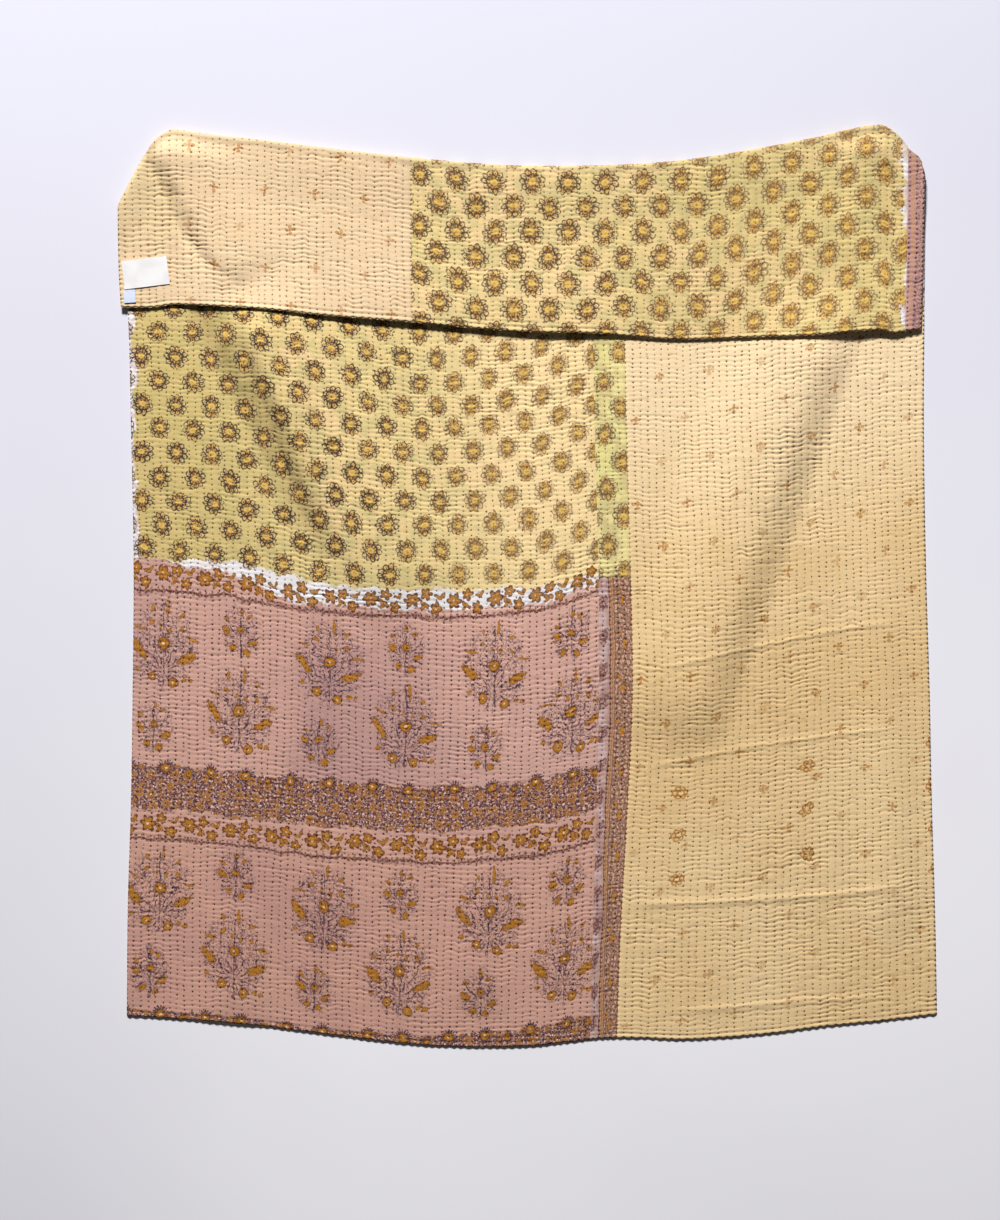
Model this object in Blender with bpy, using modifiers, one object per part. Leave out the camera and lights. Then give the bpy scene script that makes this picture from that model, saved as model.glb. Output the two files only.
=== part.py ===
"""Kantha quilt laid out face up, with its head end turned down over the front.

Metres. +Z is up, +Y runs from the foot hem towards the fold, and +X runs across the quilt.
The origin is the bottom centre of the quilt's box. The cloth lies on the plane z = 0.
"""

import math

import bmesh
import bpy
from mathutils import Vector

# Driving dimensions
CLOTH_THICK = 0.0044      # all the quilted layers, measured over their puckers
LAYER_GAP = 0.002         # free space between the turned-down flap and the body under it
FOLD_RADIUS = 0.0060      # middle of the cloth, round the roll at the fold
FOLD_EASE = 0.12          # length over which the roll flattens out into the flap
HEM_EASE = 0.15           # length over which the flap's raised hem comes down
PIECE_GAP = 0.0003        # between a label and the cloth under it
LABEL_THICK = 0.0008

# Mesh density
STATIONS = 54             # segments across the quilt
BODY_ROWS = 36
ROLL_ROWS = 6
FLAP_ROWS = 11
CROWDING = 0.07           # how much closer the stations are at the two sides

# Outline, for shares across the quilt from its left side (0) to its right (1):
# share, y of the fold, y of the flap's hem, y of the foot hem
ACROSS = (
    (0.000, 0.718, 0.525, -0.809),
    (0.040, 0.829, 0.525, -0.812),
    (0.064, 0.858, 0.530, -0.815),
    (0.076, 0.857, 0.530, -0.816),
    (0.120, 0.848, 0.527, -0.821),
    (0.180, 0.838, 0.521, -0.830),
    (0.250, 0.825, 0.510, -0.844),
    (0.360, 0.806, 0.497, -0.863),
    (0.430, 0.796, 0.487, -0.867),
    (0.500, 0.790, 0.479, -0.865),
    (0.600, 0.791, 0.475, -0.850),
    (0.690, 0.799, 0.465, -0.853),
    (0.780, 0.819, 0.468, -0.844),
    (0.860, 0.842, 0.471, -0.829),
    (0.944, 0.867, 0.482, -0.816),
    (0.966, 0.848, 0.477, -0.812),
    (0.983, 0.818, 0.481, -0.809),
    (0.994, 0.803, 0.483, -0.807),
    (1.000, 0.772, 0.484, -0.806),
)

# Side edges of the body and of the flap: y, x of the left edge, x of the right edge
BODY_SIDES = (
    (-0.81, -0.755, 0.771),
    (-0.60, -0.753, 0.767),
    (-0.40, -0.747, 0.761),
    (-0.20, -0.744, 0.757),
    (0.04, -0.742, 0.750),
    (0.30, -0.747, 0.746),
    (0.50, -0.752, 0.747),
    (0.72, -0.765, 0.749),
)
FLAP_SIDES = (
    (0.48, -0.762, 0.740),
    (0.60, -0.769, 0.744),
    (0.72, -0.770, 0.746),
)

# How far the flap's hem stands off the body: share across, height
HEM_LIFTS = (
    (0.00, 0.0000),
    (0.06, 0.0000),
    (0.075, 0.0003),
    (0.10, 0.0034),
    (0.15, 0.0006),
    (0.22, 0.0006),
    (0.31, 0.0040),
    (0.45, 0.0030),
    (0.56, 0.0045),
    (0.64, 0.0006),
    (0.84, 0.0006),
    (0.92, 0.0065),
    (0.97, 0.0040),
    (1.00, 0.0015),
)

# Soft ridges. Each crest runs from its upper end to its lower one. right_m and left_m are how
# wide it is on either hand of someone walking down it, and the heights are at its two ends.
# layer, upper x, upper y, lower x, lower y, upper height, lower height, right_m, left_m
RIDGES = (
    ("body", 0.578, 0.560, 0.272, -0.340, 0.0190, 0.0120, 0.190, 0.085),
    ("body", -0.570, 0.560, -0.225, -0.090, 0.0160, 0.0080, 0.085, 0.190),
    ("body", -0.060, 0.000, -0.100, -0.840, 0.0010, 0.0060, 0.090, 0.110),
    ("body", 0.640, 0.200, 0.700, -0.700, 0.0010, 0.0060, 0.070, 0.060),
    ("body", -0.500, -0.250, -0.560, -0.860, 0.0010, 0.0050, 0.090, 0.080),
    ("flap", -0.720, 0.900, -0.545, 0.545, 0.0110, 0.0050, 0.034, 0.150),
    ("flap", 0.655, 0.880, 0.590, 0.600, 0.0070, 0.0020, 0.110, 0.075),
)
RIDGE_END = 0.16          # share of a ridge's length over which each end fades
RIDGE_START = 0.045       # length from the fold over which the flap's ridges rise

# Labels: x and y of the middle, width, height, turn in degrees
LABEL = (-0.7180, 0.5900, 0.085, 0.053, 7.0)
CARE_LABEL = (-0.7480, 0.5455, 0.022, 0.024, 4.0)
LABEL_CUTS = (6, 4)


def eased(share):
    """0 to 1 with level ends."""
    share = min(max(share, 0.0), 1.0)
    return share * share * (3.0 - 2.0 * share)


def between(low, high, share):
    return low + (high - low) * share


def looked_up(table, at, column):
    """A table's column at a place given by its first column, along a smooth curve through its rows."""
    if at <= table[0][0]:
        return table[0][column]
    if at >= table[-1][0]:
        return table[-1][column]
    last = len(table) - 1
    i = max(n for n in range(last) if table[n][0] <= at)

    def slope(n):
        before, after = max(n - 1, 0), min(n + 1, last)
        return (table[after][column] - table[before][column]) / (table[after][0] - table[before][0])

    span = table[i + 1][0] - table[i][0]
    s = (at - table[i][0]) / span
    return (
        table[i][column] * (1 + 2 * s) * (1 - s) ** 2
        + slope(i) * span * s * (1 - s) ** 2
        + table[i + 1][column] * s * s * (3 - 2 * s)
        + slope(i + 1) * span * s * s * (s - 1)
    )


def ridge_height(ridge, x, y):
    """How high one soft ridge stands at a point of the cloth."""
    _, x_up, y_up, x_low, y_low, h_up, h_low, right_m, left_m = ridge
    run = Vector((x_low - x_up, y_low - y_up))
    off = Vector((x - x_up, y - y_up))
    along = off.dot(run) / run.length_squared
    aside = (run.x * off.y - run.y * off.x) / run.length   # over 0 on the left hand
    reach = left_m if aside > 0 else right_m
    if abs(aside) >= reach or not 0 < along < 1:
        return 0.0
    ends = eased(along / RIDGE_END) * eased((1 - along) / RIDGE_END)
    return between(h_up, h_low, along) * ends * (1 - (aside / reach) ** 2) ** 2


def ridges_height(layer, x, y):
    return sum(ridge_height(ridge, x, y) for ridge in RIDGES if ridge[0] == layer)


def body_height(x, y):
    """Middle of the body's cloth above the floor."""
    return CLOTH_THICK / 2 + ridges_height("body", x, y)


def flap_height(across, x, y):
    """Middle of the flap's cloth above the floor."""
    to_fold = looked_up(ACROSS, across, 1) - FOLD_RADIUS - y
    to_hem = y - looked_up(ACROSS, across, 2)
    level = CLOTH_THICK + LAYER_GAP
    roll = (2 * FOLD_RADIUS - level) * (1 - eased(to_fold / FOLD_EASE))
    hem = looked_up(HEM_LIFTS, across, 1) * (1 - eased(to_hem / HEM_EASE))
    ridges = ridges_height("flap", x, y) * eased(to_fold / RIDGE_START)
    return body_height(x, y) + level + roll + hem + ridges


def side_to_side(sides, across, y):
    return between(looked_up(sides, y, 1), looked_up(sides, y, 2), across)


def body_point(across, share):
    """share runs from the foot hem (0) to the start of the roll (1)."""
    fold = looked_up(ACROSS, across, 1) - FOLD_RADIUS
    y = between(looked_up(ACROSS, across, 3), fold, share)
    x = side_to_side(BODY_SIDES, across, y)
    return Vector((x, y, body_height(x, y)))


def flap_point(across, share):
    """share runs from the end of the roll (0) to the flap's hem (1)."""
    fold = looked_up(ACROSS, across, 1) - FOLD_RADIUS
    y = between(fold, looked_up(ACROSS, across, 2), share)
    x = side_to_side(FLAP_SIDES, across, y)
    return Vector((x, y, flap_height(across, x, y)))


def roll_point(across, share):
    """Round the fold, from the body's layer (0) up to the flap's (1)."""
    low = body_point(across, 1)
    high = flap_point(across, 0)
    radius = (high.z - low.z) / 2
    turn = math.pi * share
    point = low.lerp(high, (1 - math.cos(turn)) / 2)
    point.y += radius * math.sin(turn)
    return point


def quilt_point(across, row):
    """Middle of the cloth at a share across and a row counted from the foot hem."""
    if row <= BODY_ROWS:
        return body_point(across, row / BODY_ROWS)
    row -= BODY_ROWS
    if row <= ROLL_ROWS:
        return roll_point(across, row / ROLL_ROWS)
    return flap_point(across, (row - ROLL_ROWS) / FLAP_ROWS)


def crowded(share):
    """Sets the stations closer together near the two sides, where the fold's corners are."""
    return share - CROWDING * math.sin(2 * math.pi * share)


def cloth(name, columns, rows, place, thick, colour, collection):
    """A sheet of cloth: a grid of columns by rows, each corner moved by place, then given its thickness."""
    bm = bmesh.new()
    bmesh.ops.create_grid(bm, x_segments=columns, y_segments=rows, size=1.0)
    for vert in bm.verts:
        vert.co = place((vert.co.x + 1) / 2, (vert.co.y + 1) / 2)
    bmesh.ops.recalc_face_normals(bm, faces=bm.faces)
    mesh = bpy.data.meshes.new(name)
    bm.to_mesh(mesh)
    bm.free()
    mesh.shade_smooth()
    obj = bpy.data.objects.new(name, mesh)
    collection.objects.link(obj)
    solidify = obj.modifiers.new("thickness", "SOLIDIFY")
    solidify.thickness = thick
    solidify.offset = 0.0
    mesh.materials.append(fabric(name, colour))
    return obj


def fabric(name, colour):
    material = bpy.data.materials.new(name)
    material.use_nodes = True
    shader = material.node_tree.nodes["Principled BSDF"]
    shader.inputs["Base Color"].default_value = (*colour, 1.0)
    shader.inputs["Roughness"].default_value = 0.9
    shader.inputs["Metallic"].default_value = 0.0
    return material


def build_quilt(collection):
    rows = BODY_ROWS + ROLL_ROWS + FLAP_ROWS

    def place(across, along):
        return quilt_point(crowded(across), round(along * rows))

    cloth("quilt", STATIONS, rows, place, CLOTH_THICK, (0.60, 0.46, 0.26), collection)


def build_label(name, label, colour, collection):
    """A small cloth label lying flat on the flap, a little turned."""
    x_mid, y_mid, width, height, turn = label
    turn = math.radians(turn)
    flat_top = 2 * CLOTH_THICK + LAYER_GAP

    def place(across, along):
        dx, dy = (across - 0.5) * width, (along - 0.5) * height
        x = x_mid + dx * math.cos(turn) - dy * math.sin(turn)
        y = y_mid + dx * math.sin(turn) + dy * math.cos(turn)
        return Vector((x, y, flat_top + PIECE_GAP + LABEL_THICK / 2))

    cloth(name, *LABEL_CUTS, place, LABEL_THICK, colour, collection)


def main():
    for obj in list(bpy.data.objects):
        bpy.data.objects.remove(obj)
    collection = bpy.data.collections.new("kantha_quilt")
    bpy.context.scene.collection.children.link(collection)
    build_quilt(collection)
    build_label("label", LABEL, (0.86, 0.85, 0.84), collection)
    build_label("care_label", CARE_LABEL, (0.80, 0.85, 0.92), collection)


main()
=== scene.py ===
"""Looks of a kantha quilt that lies face up with its head end turned down over the front.

Metres. +Z is up, +Y runs from the foot hem to the fold, and +X runs across the quilt. Every place on
the cloth is counted in running stitches: a column is one line of stitching and a row is one stitch.
"""

import math

import bmesh
import bpy
import numpy as np
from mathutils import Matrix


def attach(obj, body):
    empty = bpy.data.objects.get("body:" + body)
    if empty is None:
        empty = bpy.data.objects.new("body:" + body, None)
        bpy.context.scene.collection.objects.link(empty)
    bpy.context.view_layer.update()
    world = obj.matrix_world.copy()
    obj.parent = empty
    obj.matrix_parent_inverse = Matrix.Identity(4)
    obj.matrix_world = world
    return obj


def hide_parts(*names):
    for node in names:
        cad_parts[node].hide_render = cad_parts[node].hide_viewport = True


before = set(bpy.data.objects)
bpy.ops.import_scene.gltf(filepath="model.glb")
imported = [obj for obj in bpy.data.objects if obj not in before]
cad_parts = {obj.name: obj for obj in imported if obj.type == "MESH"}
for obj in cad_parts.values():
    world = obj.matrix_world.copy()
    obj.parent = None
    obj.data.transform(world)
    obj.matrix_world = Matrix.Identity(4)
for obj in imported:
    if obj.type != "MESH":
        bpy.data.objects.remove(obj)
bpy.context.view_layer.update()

# Cloth, repeated from the part
CLOTH_THICK = 0.0044
LAYER_GAP = 0.002
FOLD_RADIUS = 0.0060
FOLD_EASE = 0.12
HEM_EASE = 0.15
HALF = CLOTH_THICK / 2

# share across, y of the fold, y of the flap's hem, y of the foot hem
ACROSS = np.array((
    (0.000, 0.718, 0.525, -0.809),
    (0.040, 0.829, 0.525, -0.812),
    (0.064, 0.858, 0.530, -0.815),
    (0.076, 0.857, 0.530, -0.816),
    (0.120, 0.848, 0.527, -0.821),
    (0.180, 0.838, 0.521, -0.830),
    (0.250, 0.825, 0.510, -0.844),
    (0.360, 0.806, 0.497, -0.863),
    (0.430, 0.796, 0.487, -0.867),
    (0.500, 0.790, 0.479, -0.865),
    (0.600, 0.791, 0.475, -0.850),
    (0.690, 0.799, 0.465, -0.853),
    (0.780, 0.819, 0.468, -0.844),
    (0.860, 0.842, 0.471, -0.829),
    (0.944, 0.867, 0.482, -0.816),
    (0.966, 0.848, 0.477, -0.812),
    (0.983, 0.818, 0.481, -0.809),
    (0.994, 0.803, 0.483, -0.807),
    (1.000, 0.772, 0.484, -0.806),
))

# y, x of the left edge, x of the right edge
BODY_SIDES = np.array((
    (-0.81, -0.755, 0.771),
    (-0.60, -0.753, 0.767),
    (-0.40, -0.747, 0.761),
    (-0.20, -0.744, 0.757),
    (0.04, -0.742, 0.750),
    (0.30, -0.747, 0.746),
    (0.50, -0.752, 0.747),
    (0.72, -0.765, 0.749),
))
FLAP_SIDES = np.array((
    (0.48, -0.762, 0.740),
    (0.60, -0.769, 0.744),
    (0.72, -0.770, 0.746),
))

# share across, how far the flap's hem stands off the body
HEM_LIFTS = np.array((
    (0.00, 0.0000),
    (0.06, 0.0000),
    (0.075, 0.0003),
    (0.10, 0.0034),
    (0.15, 0.0006),
    (0.22, 0.0006),
    (0.31, 0.0040),
    (0.45, 0.0030),
    (0.56, 0.0045),
    (0.64, 0.0006),
    (0.84, 0.0006),
    (0.92, 0.0065),
    (0.97, 0.0040),
    (1.00, 0.0015),
))

# Soft ridges: upper x, upper y, lower x, lower y, upper height, lower height, and how wide each is
# on the right and on the left hand of someone walking down it
BODY_RIDGES = (
    (0.578, 0.560, 0.272, -0.340, 0.0190, 0.0120, 0.190, 0.085),
    (-0.570, 0.560, -0.225, -0.090, 0.0160, 0.0080, 0.085, 0.190),
    (-0.060, 0.000, -0.100, -0.840, 0.0010, 0.0060, 0.090, 0.110),
    (0.640, 0.200, 0.700, -0.700, 0.0010, 0.0060, 0.070, 0.060),
    (-0.500, -0.250, -0.560, -0.860, 0.0010, 0.0050, 0.090, 0.080),
)
FLAP_RIDGES = (
    (-0.720, 0.900, -0.545, 0.545, 0.0110, 0.0050, 0.034, 0.150),
    (0.655, 0.880, 0.590, 0.600, 0.0070, 0.0020, 0.110, 0.075),
)
RIDGE_END = 0.16          # share of a ridge's length over which each end fades
RIDGE_START = 0.045       # length from the fold over which the flap's ridges rise

# Fine creases left by folding for storage: height, half width, then x and y of points on the crest
BODY_CREASES = (
    (0.0014, 0.010, ((0.20, -0.166), (0.41, -0.118), (0.62, -0.076), (0.73, -0.068))),
    (0.0013, 0.009, ((0.20, -0.347), (0.36, -0.313), (0.49, -0.291), (0.72, -0.263))),
    (0.0020, 0.013, ((0.17, -0.600), (0.41, -0.591), (0.62, -0.576), (0.74, -0.555))),
    (0.0015, 0.011, ((0.24, -0.802), (0.38, -0.792), (0.55, -0.779), (0.71, -0.771))),
)
CREASE_END = 0.10         # how far along x a crease takes to fade out at each end
CREST = 0.1               # how blunt its crest is, as a share of its half width

# The same for broader lines, which fade out sooner. One whose height is below zero is a trough.
BODY_TROUGHS = (
    (-0.0052, 0.070, ((-0.595, 0.560), (-0.545, 0.460), (-0.496, 0.340), (-0.446, 0.180), (-0.395, 0.020))),
    (0.0052, 0.070, ((-0.550, 0.530), (-0.512, 0.460), (-0.462, 0.340), (-0.412, 0.180), (-0.360, 0.020))),
)
FLAP_TROUGHS = (
    (-0.0030, 0.036, ((-0.780, 0.950), (-0.724, 0.829), (-0.644, 0.657), (-0.515, 0.545))),
)
TROUGH_END = 0.06

# Stitching
COLUMNS = 110             # lines of stitching
COLUMN = 1.51 / COLUMNS   # from one line to the next, where the quilt is 1.51 m wide
STITCH = 0.0090           # from one stitch to the next along a line
PUCKER = 0.0021           # how far a stitch draws the cloth in
SHARPNESS = 0.8           # of the valley along a row of stitches; 1 is a plain sine
SEAM_DEPTH, SEAM_REACH = 0.0012, 0.25  # of the groove along a seam, metres and columns
HEM_DEPTH, HEM_REACH = 0.0009, 0.3     # of the groove inside a hem, metres and rows
HEM_ROW = 0.9             # row of that groove
EDGE_NOTCH = 0.0016       # how far each stitch draws in the cloth's edges
NOTCH_COLUMNS, NOTCH_ROWS = 0.8, 1.2   # how far in from the sides and from the hem this reaches

# The hand's unevenness: shift of the seed, size in columns or rows, columns wide, rows long
WANDER = ((0, 0.13, 0.8, 14), (1, 0.10, 5, 9), (7, 0.07, 1.0, 1.5))
DRIFT = ((2, 0.75, 14, 24), (3, 0.38, 1.4, 5), (4, 0.20, 0.5, 1.0))
LONGEST = 220             # rows, more than any face has

# Puckers, as shares of the full depth: mean and unevenness of each kind
PULLED = (0.74, 0.60)     # one stitch from the next
SWOLLEN = (0.85, 0.30)    # broad patches
HALFWAY = (0.15, 0.55)    # the smaller puckers midway between two rows
ON_LINE = 0.62            # how much of a valley is on the line of stitching alone
GULLY = 0.22              # how far a line is drawn in between its stitches
DEEPEST = 1.7

# Where the cloth bunches up or lies smoother: column, row, columns and rows that it reaches, gain
FRONT_SLACK = (
    (94.0, 128.0, 5.0, 14.0, 0.50),
    (88.0, 104.0, 5.0, 16.0, 0.50),
    (82.0, 78.0, 6.0, 16.0, 0.30),
    (12.5, 145.0, 3.5, 7.0, 0.55),
    (16.5, 136.0, 3.5, 8.0, 0.60),
    (20.5, 125.0, 4.0, 9.0, 0.60),
    (24.5, 112.0, 4.5, 10.0, 0.60),
    (106.0, 100.0, 7.0, 60.0, -0.30),
    (78.0, 132.0, 9.0, 20.0, -0.28),
    (30.0, 30.0, 40.0, 50.0, -0.08),
    (88.0, 22.0, 25.0, 25.0, 0.12),
)
TURNED_SLACK = (
    (2.6, 36.0, 0.8, 3.0, 1.10),
    (3.6, 32.5, 0.8, 3.0, 1.10),
    (4.7, 28.8, 0.9, 3.0, 1.15),
    (5.8, 25.2, 1.1, 3.0, 1.05),
    (7.2, 21.5, 1.4, 3.5, 0.95),
    (10.4, 14.5, 4.0, 5.0, 0.60),
    (18.0, 8.0, 9.0, 5.0, 0.45),
    (16.0, 27.0, 6.0, 9.0, -0.40),
    (34.0, 20.0, 9.0, 10.0, -0.25),
    (62.0, 14.0, 12.0, 8.0, 0.20),
)
FRONT_SEED, TURNED_SEED, UNDER_SEED = 11, 31, 51

# Panels, in columns and rows
STRIP_FROM, STRIP_TO = 64.5, 69.0      # the narrow strip between the front's panels
TURNED_SEAMS = (40.0, 107.75)
BODY_ROWS = 152           # rows of the front, from the foot hem to just under the flap's hem
PRINT_ROWS = 92           # where the pink print's mesh ends and the medallion print's begins
STRIP_ROWS = 96           # where the strip's border gives way to its medallions
CREAM_ROWS = 147          # past this the flap hides the front's cream panel
TURNED_ROWS = 47          # rows of the flap, counted from its hem and round the fold
UNDER_ROWS = 174          # rows of the back under the body
INNER_ROWS = 60           # rows of the front where it is hidden
INNER_FOLD = (24, 36)     # the rows of those between which it goes round the fold

# Distance from the foot hem, shift of the strip's left seam and of its right one, in shares across
SEAM_SHIFTS = np.array((
    (0.000, -0.0144, -0.0223),
    (0.185, -0.0105, -0.0173),
    (0.390, -0.0060, -0.0088),
    (0.640, -0.0010, 0.0000),
    (0.870, 0.0006, 0.0002),
    (1.320, -0.0028, -0.0035),
))

# Metres across, how much the front's prints rise there, and the same for the turned cloth's
PRINT_LIFT = np.array((
    (0.00, 0.000),
    (0.15, 0.001),
    (0.30, -0.004),
    (0.45, 0.001),
    (0.66, 0.013),
    (0.78, 0.022),
    (0.90, 0.040),
))
TURNED_LIFT = np.array((
    (0.540, 0.003),
    (0.600, 0.000),
    (0.670, -0.006),
    (0.740, -0.004),
    (0.875, 0.000),
    (0.946, 0.008),
    (1.014, 0.014),
    (1.087, 0.018),
    (1.157, 0.029),
    (1.228, 0.039),
    (1.298, 0.051),
    (1.364, 0.059),
    (1.422, 0.063),
))

# Metres across, lower edge of the medallion print there and upper edge of the pink one, along the print
PRINT_GAP = np.array((
    (0.00, 0.857, 0.861),
    (0.06, 0.858, 0.857),
    (0.11, 0.862, 0.848),
    (0.17, 0.867, 0.847),
    (0.23, 0.862, 0.833),
    (0.31, 0.857, 0.817),
    (0.50, 0.851, 0.815),
    (0.66, 0.848, 0.816),
    (0.82, 0.842, 0.815),
    (0.90, 0.830, 0.814),
))

# Mesh density
FINE, MEDIUM, COARSE = 0.25, 0.5, 1.0  # columns or rows to a segment
RIM_SHARES = (0.03, 0.16, 0.45, 0.90)  # closer lines round an edge, in shares of its radius
BAKE_MARGIN = 0.002       # left free round each piece's own square, in shares of it
INNER_SHARE = 0.8         # of the cloth's half thickness, where it is hidden inside the fold


# ---------------------------------------------------------------- shape of the lying cloth


def eased(share):
    share = np.clip(share, 0.0, 1.0)
    return share * share * (3.0 - 2.0 * share)


def between(low, high, share):
    return low + (high - low) * share


def looked_up(table, at, column):
    """A table's column at places given by its first column, along a smooth curve through its rows."""
    xs, ys = table[:, 0], table[:, column]
    before = np.maximum(np.arange(len(xs)) - 1, 0)
    after = np.minimum(np.arange(len(xs)) + 1, len(xs) - 1)
    slopes = (ys[after] - ys[before]) / (xs[after] - xs[before])
    at = np.clip(at, xs[0], xs[-1])
    i = np.clip(np.searchsorted(xs, at, side="right") - 1, 0, len(xs) - 2)
    span = xs[i + 1] - xs[i]
    s = (at - xs[i]) / span
    return (
        ys[i] * (1 + 2 * s) * (1 - s) ** 2
        + slopes[i] * span * s * (1 - s) ** 2
        + ys[i + 1] * s * s * (3 - 2 * s)
        + slopes[i + 1] * span * s * s * (s - 1)
    )


def ridges_height(ridges, x, y):
    total = np.zeros_like(x)
    for x_up, y_up, x_low, y_low, h_up, h_low, right_m, left_m in ridges:
        run = np.array((x_low - x_up, y_low - y_up))
        along = ((x - x_up) * run[0] + (y - y_up) * run[1]) / run.dot(run)
        aside = (run[0] * (y - y_up) - run[1] * (x - x_up)) / math.hypot(*run)
        reach = np.where(aside > 0, left_m, right_m)
        ends = eased(along / RIDGE_END) * eased((1 - along) / RIDGE_END)
        profile = np.clip(1 - (aside / reach) ** 2, 0, 1) ** 2
        total += between(h_up, h_low, np.clip(along, 0, 1)) * ends * profile
    return total


def creases_height(creases, x, y, end=CREASE_END):
    """Creases or troughs with a rather sharp crest, each fading out at its two ends."""
    total = np.zeros_like(x)
    for height, half_width, points in creases:
        points = np.array(points)
        crest = looked_up(points, x, 1)
        off = np.clip(np.abs(y - crest) / half_width, 0, 1)
        side = np.clip(1 - np.sqrt(off ** 2 + CREST ** 2) + CREST * off, 0, 1)
        ends = eased((x - points[0, 0]) / end) * eased((points[-1, 0] - x) / end)
        total += height * side * side * ends
    return total


def body_height(x, y):
    """Middle of the body's cloth above the floor."""
    creases = creases_height(BODY_CREASES, x, y) + creases_height(BODY_TROUGHS, x, y, TROUGH_END)
    return HALF + np.maximum(ridges_height(BODY_RIDGES, x, y) + creases, 0)


def flap_height(across, x, y):
    """Middle of the flap's cloth above the floor."""
    to_fold = looked_up(ACROSS, across, 1) - FOLD_RADIUS - y
    to_hem = y - looked_up(ACROSS, across, 2)
    level = CLOTH_THICK + LAYER_GAP
    roll = (2 * FOLD_RADIUS - level) * (1 - eased(to_fold / FOLD_EASE))
    hem = looked_up(HEM_LIFTS, across, 1) * (1 - eased(to_hem / HEM_EASE))
    ridges = ridges_height(FLAP_RIDGES, x, y) + creases_height(FLAP_TROUGHS, x, y, TROUGH_END)
    ridges *= eased(to_fold / RIDGE_START)
    return HALF + ridges_height(BODY_RIDGES, x, y) + level + roll + hem + ridges


def side_to_side(sides, across, y):
    return between(looked_up(sides, y, 1), looked_up(sides, y, 2), across)


def fold_start(across):
    return looked_up(ACROSS, across, 1) - FOLD_RADIUS


def body_place(across, y):
    x = side_to_side(BODY_SIDES, across, y)
    return np.stack((x, y, body_height(x, y)), axis=-1)


def body_middle(across, from_foot):
    """Middle of the body's cloth at a distance from the foot hem."""
    return body_place(across, looked_up(ACROSS, across, 3) + from_foot)


def turned_middle(across, from_hem):
    """Middle of the cloth from the flap's hem up the flap, round the fold and back under the body."""
    start = fold_start(across)
    hem = looked_up(ACROSS, across, 2)

    def flap_place(y):
        x = side_to_side(FLAP_SIDES, across, y)
        return np.stack((x, y, flap_height(across, x, y)), axis=-1)

    high, low = flap_place(start), body_place(across, start)
    radius = (high[..., 2] - low[..., 2]) / 2
    past_flap = from_hem - (start - hem)
    turn = np.clip(past_flap / radius, 0, math.pi)
    rolled = between(high, low, ((1 - np.cos(turn)) / 2)[..., None])
    rolled[..., 1] += radius * np.sin(turn)
    past_roll = past_flap - math.pi * radius
    place = np.where((past_flap > 0)[..., None], rolled, flap_place(np.minimum(hem + from_hem, start)))
    under = body_place(across, start - np.maximum(past_roll, 0))
    return np.where((past_roll > 0)[..., None], under, place)


# ---------------------------------------------------------------- stitched surface


def uneven(seed, column, row, wide, long):
    """Smooth unevenness from -1 to 1, whose swells are so many columns wide and rows long."""
    rng = np.random.default_rng(seed)
    cells = rng.uniform(-1, 1, (int(COLUMNS / wide) + 4, int(LONGEST / long) + 4))
    a, b = column / wide + 1, row / long + 1
    i, j = np.floor(a).astype(int), np.floor(b).astype(int)
    s, t = eased(a - i), eased(b - j)
    near = between(cells[i, j], cells[i, j + 1], t)
    far = between(cells[i + 1, j], cells[i + 1, j + 1], t)
    return between(near, far, s)


def pinned(column, seams):
    """0 at the cloth's sides and seams, 1 away from them."""
    free = np.ones_like(column)
    for seam in (0.0, *seams, float(COLUMNS)):
        free *= eased(np.abs(column - seam) / 0.5)
    return free


def summed(seed, swells, column, row):
    """Unevenness of several sizes together."""
    total = np.zeros_like(column)
    for shift, size, wide, long in swells:
        total += size * uneven(seed + shift, column, row, wide, long)
    return total


def stitched(seed, column, row, seams):
    """The share across and the distance along at a column and row, with the hand's unevenness."""
    wander = summed(seed, WANDER, column, row) * pinned(column, seams)
    drift = summed(seed, DRIFT, column, row) * eased(row / 4)
    return (column + wander) / COLUMNS, (row + drift) * STITCH


def slack(zones, column, row):
    """How much more the cloth bunches up in a few places."""
    total = np.ones_like(column)
    for at_column, at_row, wide, long, gain in zones:
        off = ((column - at_column) / wide) ** 2 + ((row - at_row) / long) ** 2
        total += gain * np.exp(-off)
    return total


def puckers(seed, column, row, zones=()):
    """How deep the quilting draws the cloth in, from 0 on the puffs to about 1 at the stitches."""

    def varied(kind, shift, wide, long):
        mean, unevenness = kind
        return mean + unevenness * uneven(seed + shift, column, row, wide, long)

    line = np.cos(math.pi * column) ** 2
    valley = 1 - np.abs(np.sin(math.pi * row)) ** SHARPNESS
    puff = 1 - valley
    halfway = (1 - np.abs(np.sin(2 * math.pi * row))) * puff * np.clip(varied(HALFWAY, 8, 2.5, 3), 0, 1)
    drawn = valley * between(1 - ON_LINE, 1, line) * varied(PULLED, 5, 1.4, 1.1)
    drawn += GULLY * line * puff + halfway / 2
    return np.clip(drawn * varied(SWOLLEN, 6, 9, 12) * slack(zones, column, row), 0, DEEPEST)


def rim(to_edge):
    """1 on the cloth, falling to 0 round its edge like the side of a bead."""
    inside = np.clip(to_edge / HALF, 0, 1)
    return np.sqrt(1 - (1 - inside) ** 2)


def raised(middle, offsets):
    """Moves the cloth's middle out along its normals."""
    across = np.gradient(middle, axis=0)
    along = np.gradient(middle, axis=1)
    normal = np.cross(across, along)
    normal /= np.linalg.norm(normal, axis=-1, keepdims=True)
    return middle + normal * offsets[..., None]


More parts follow.
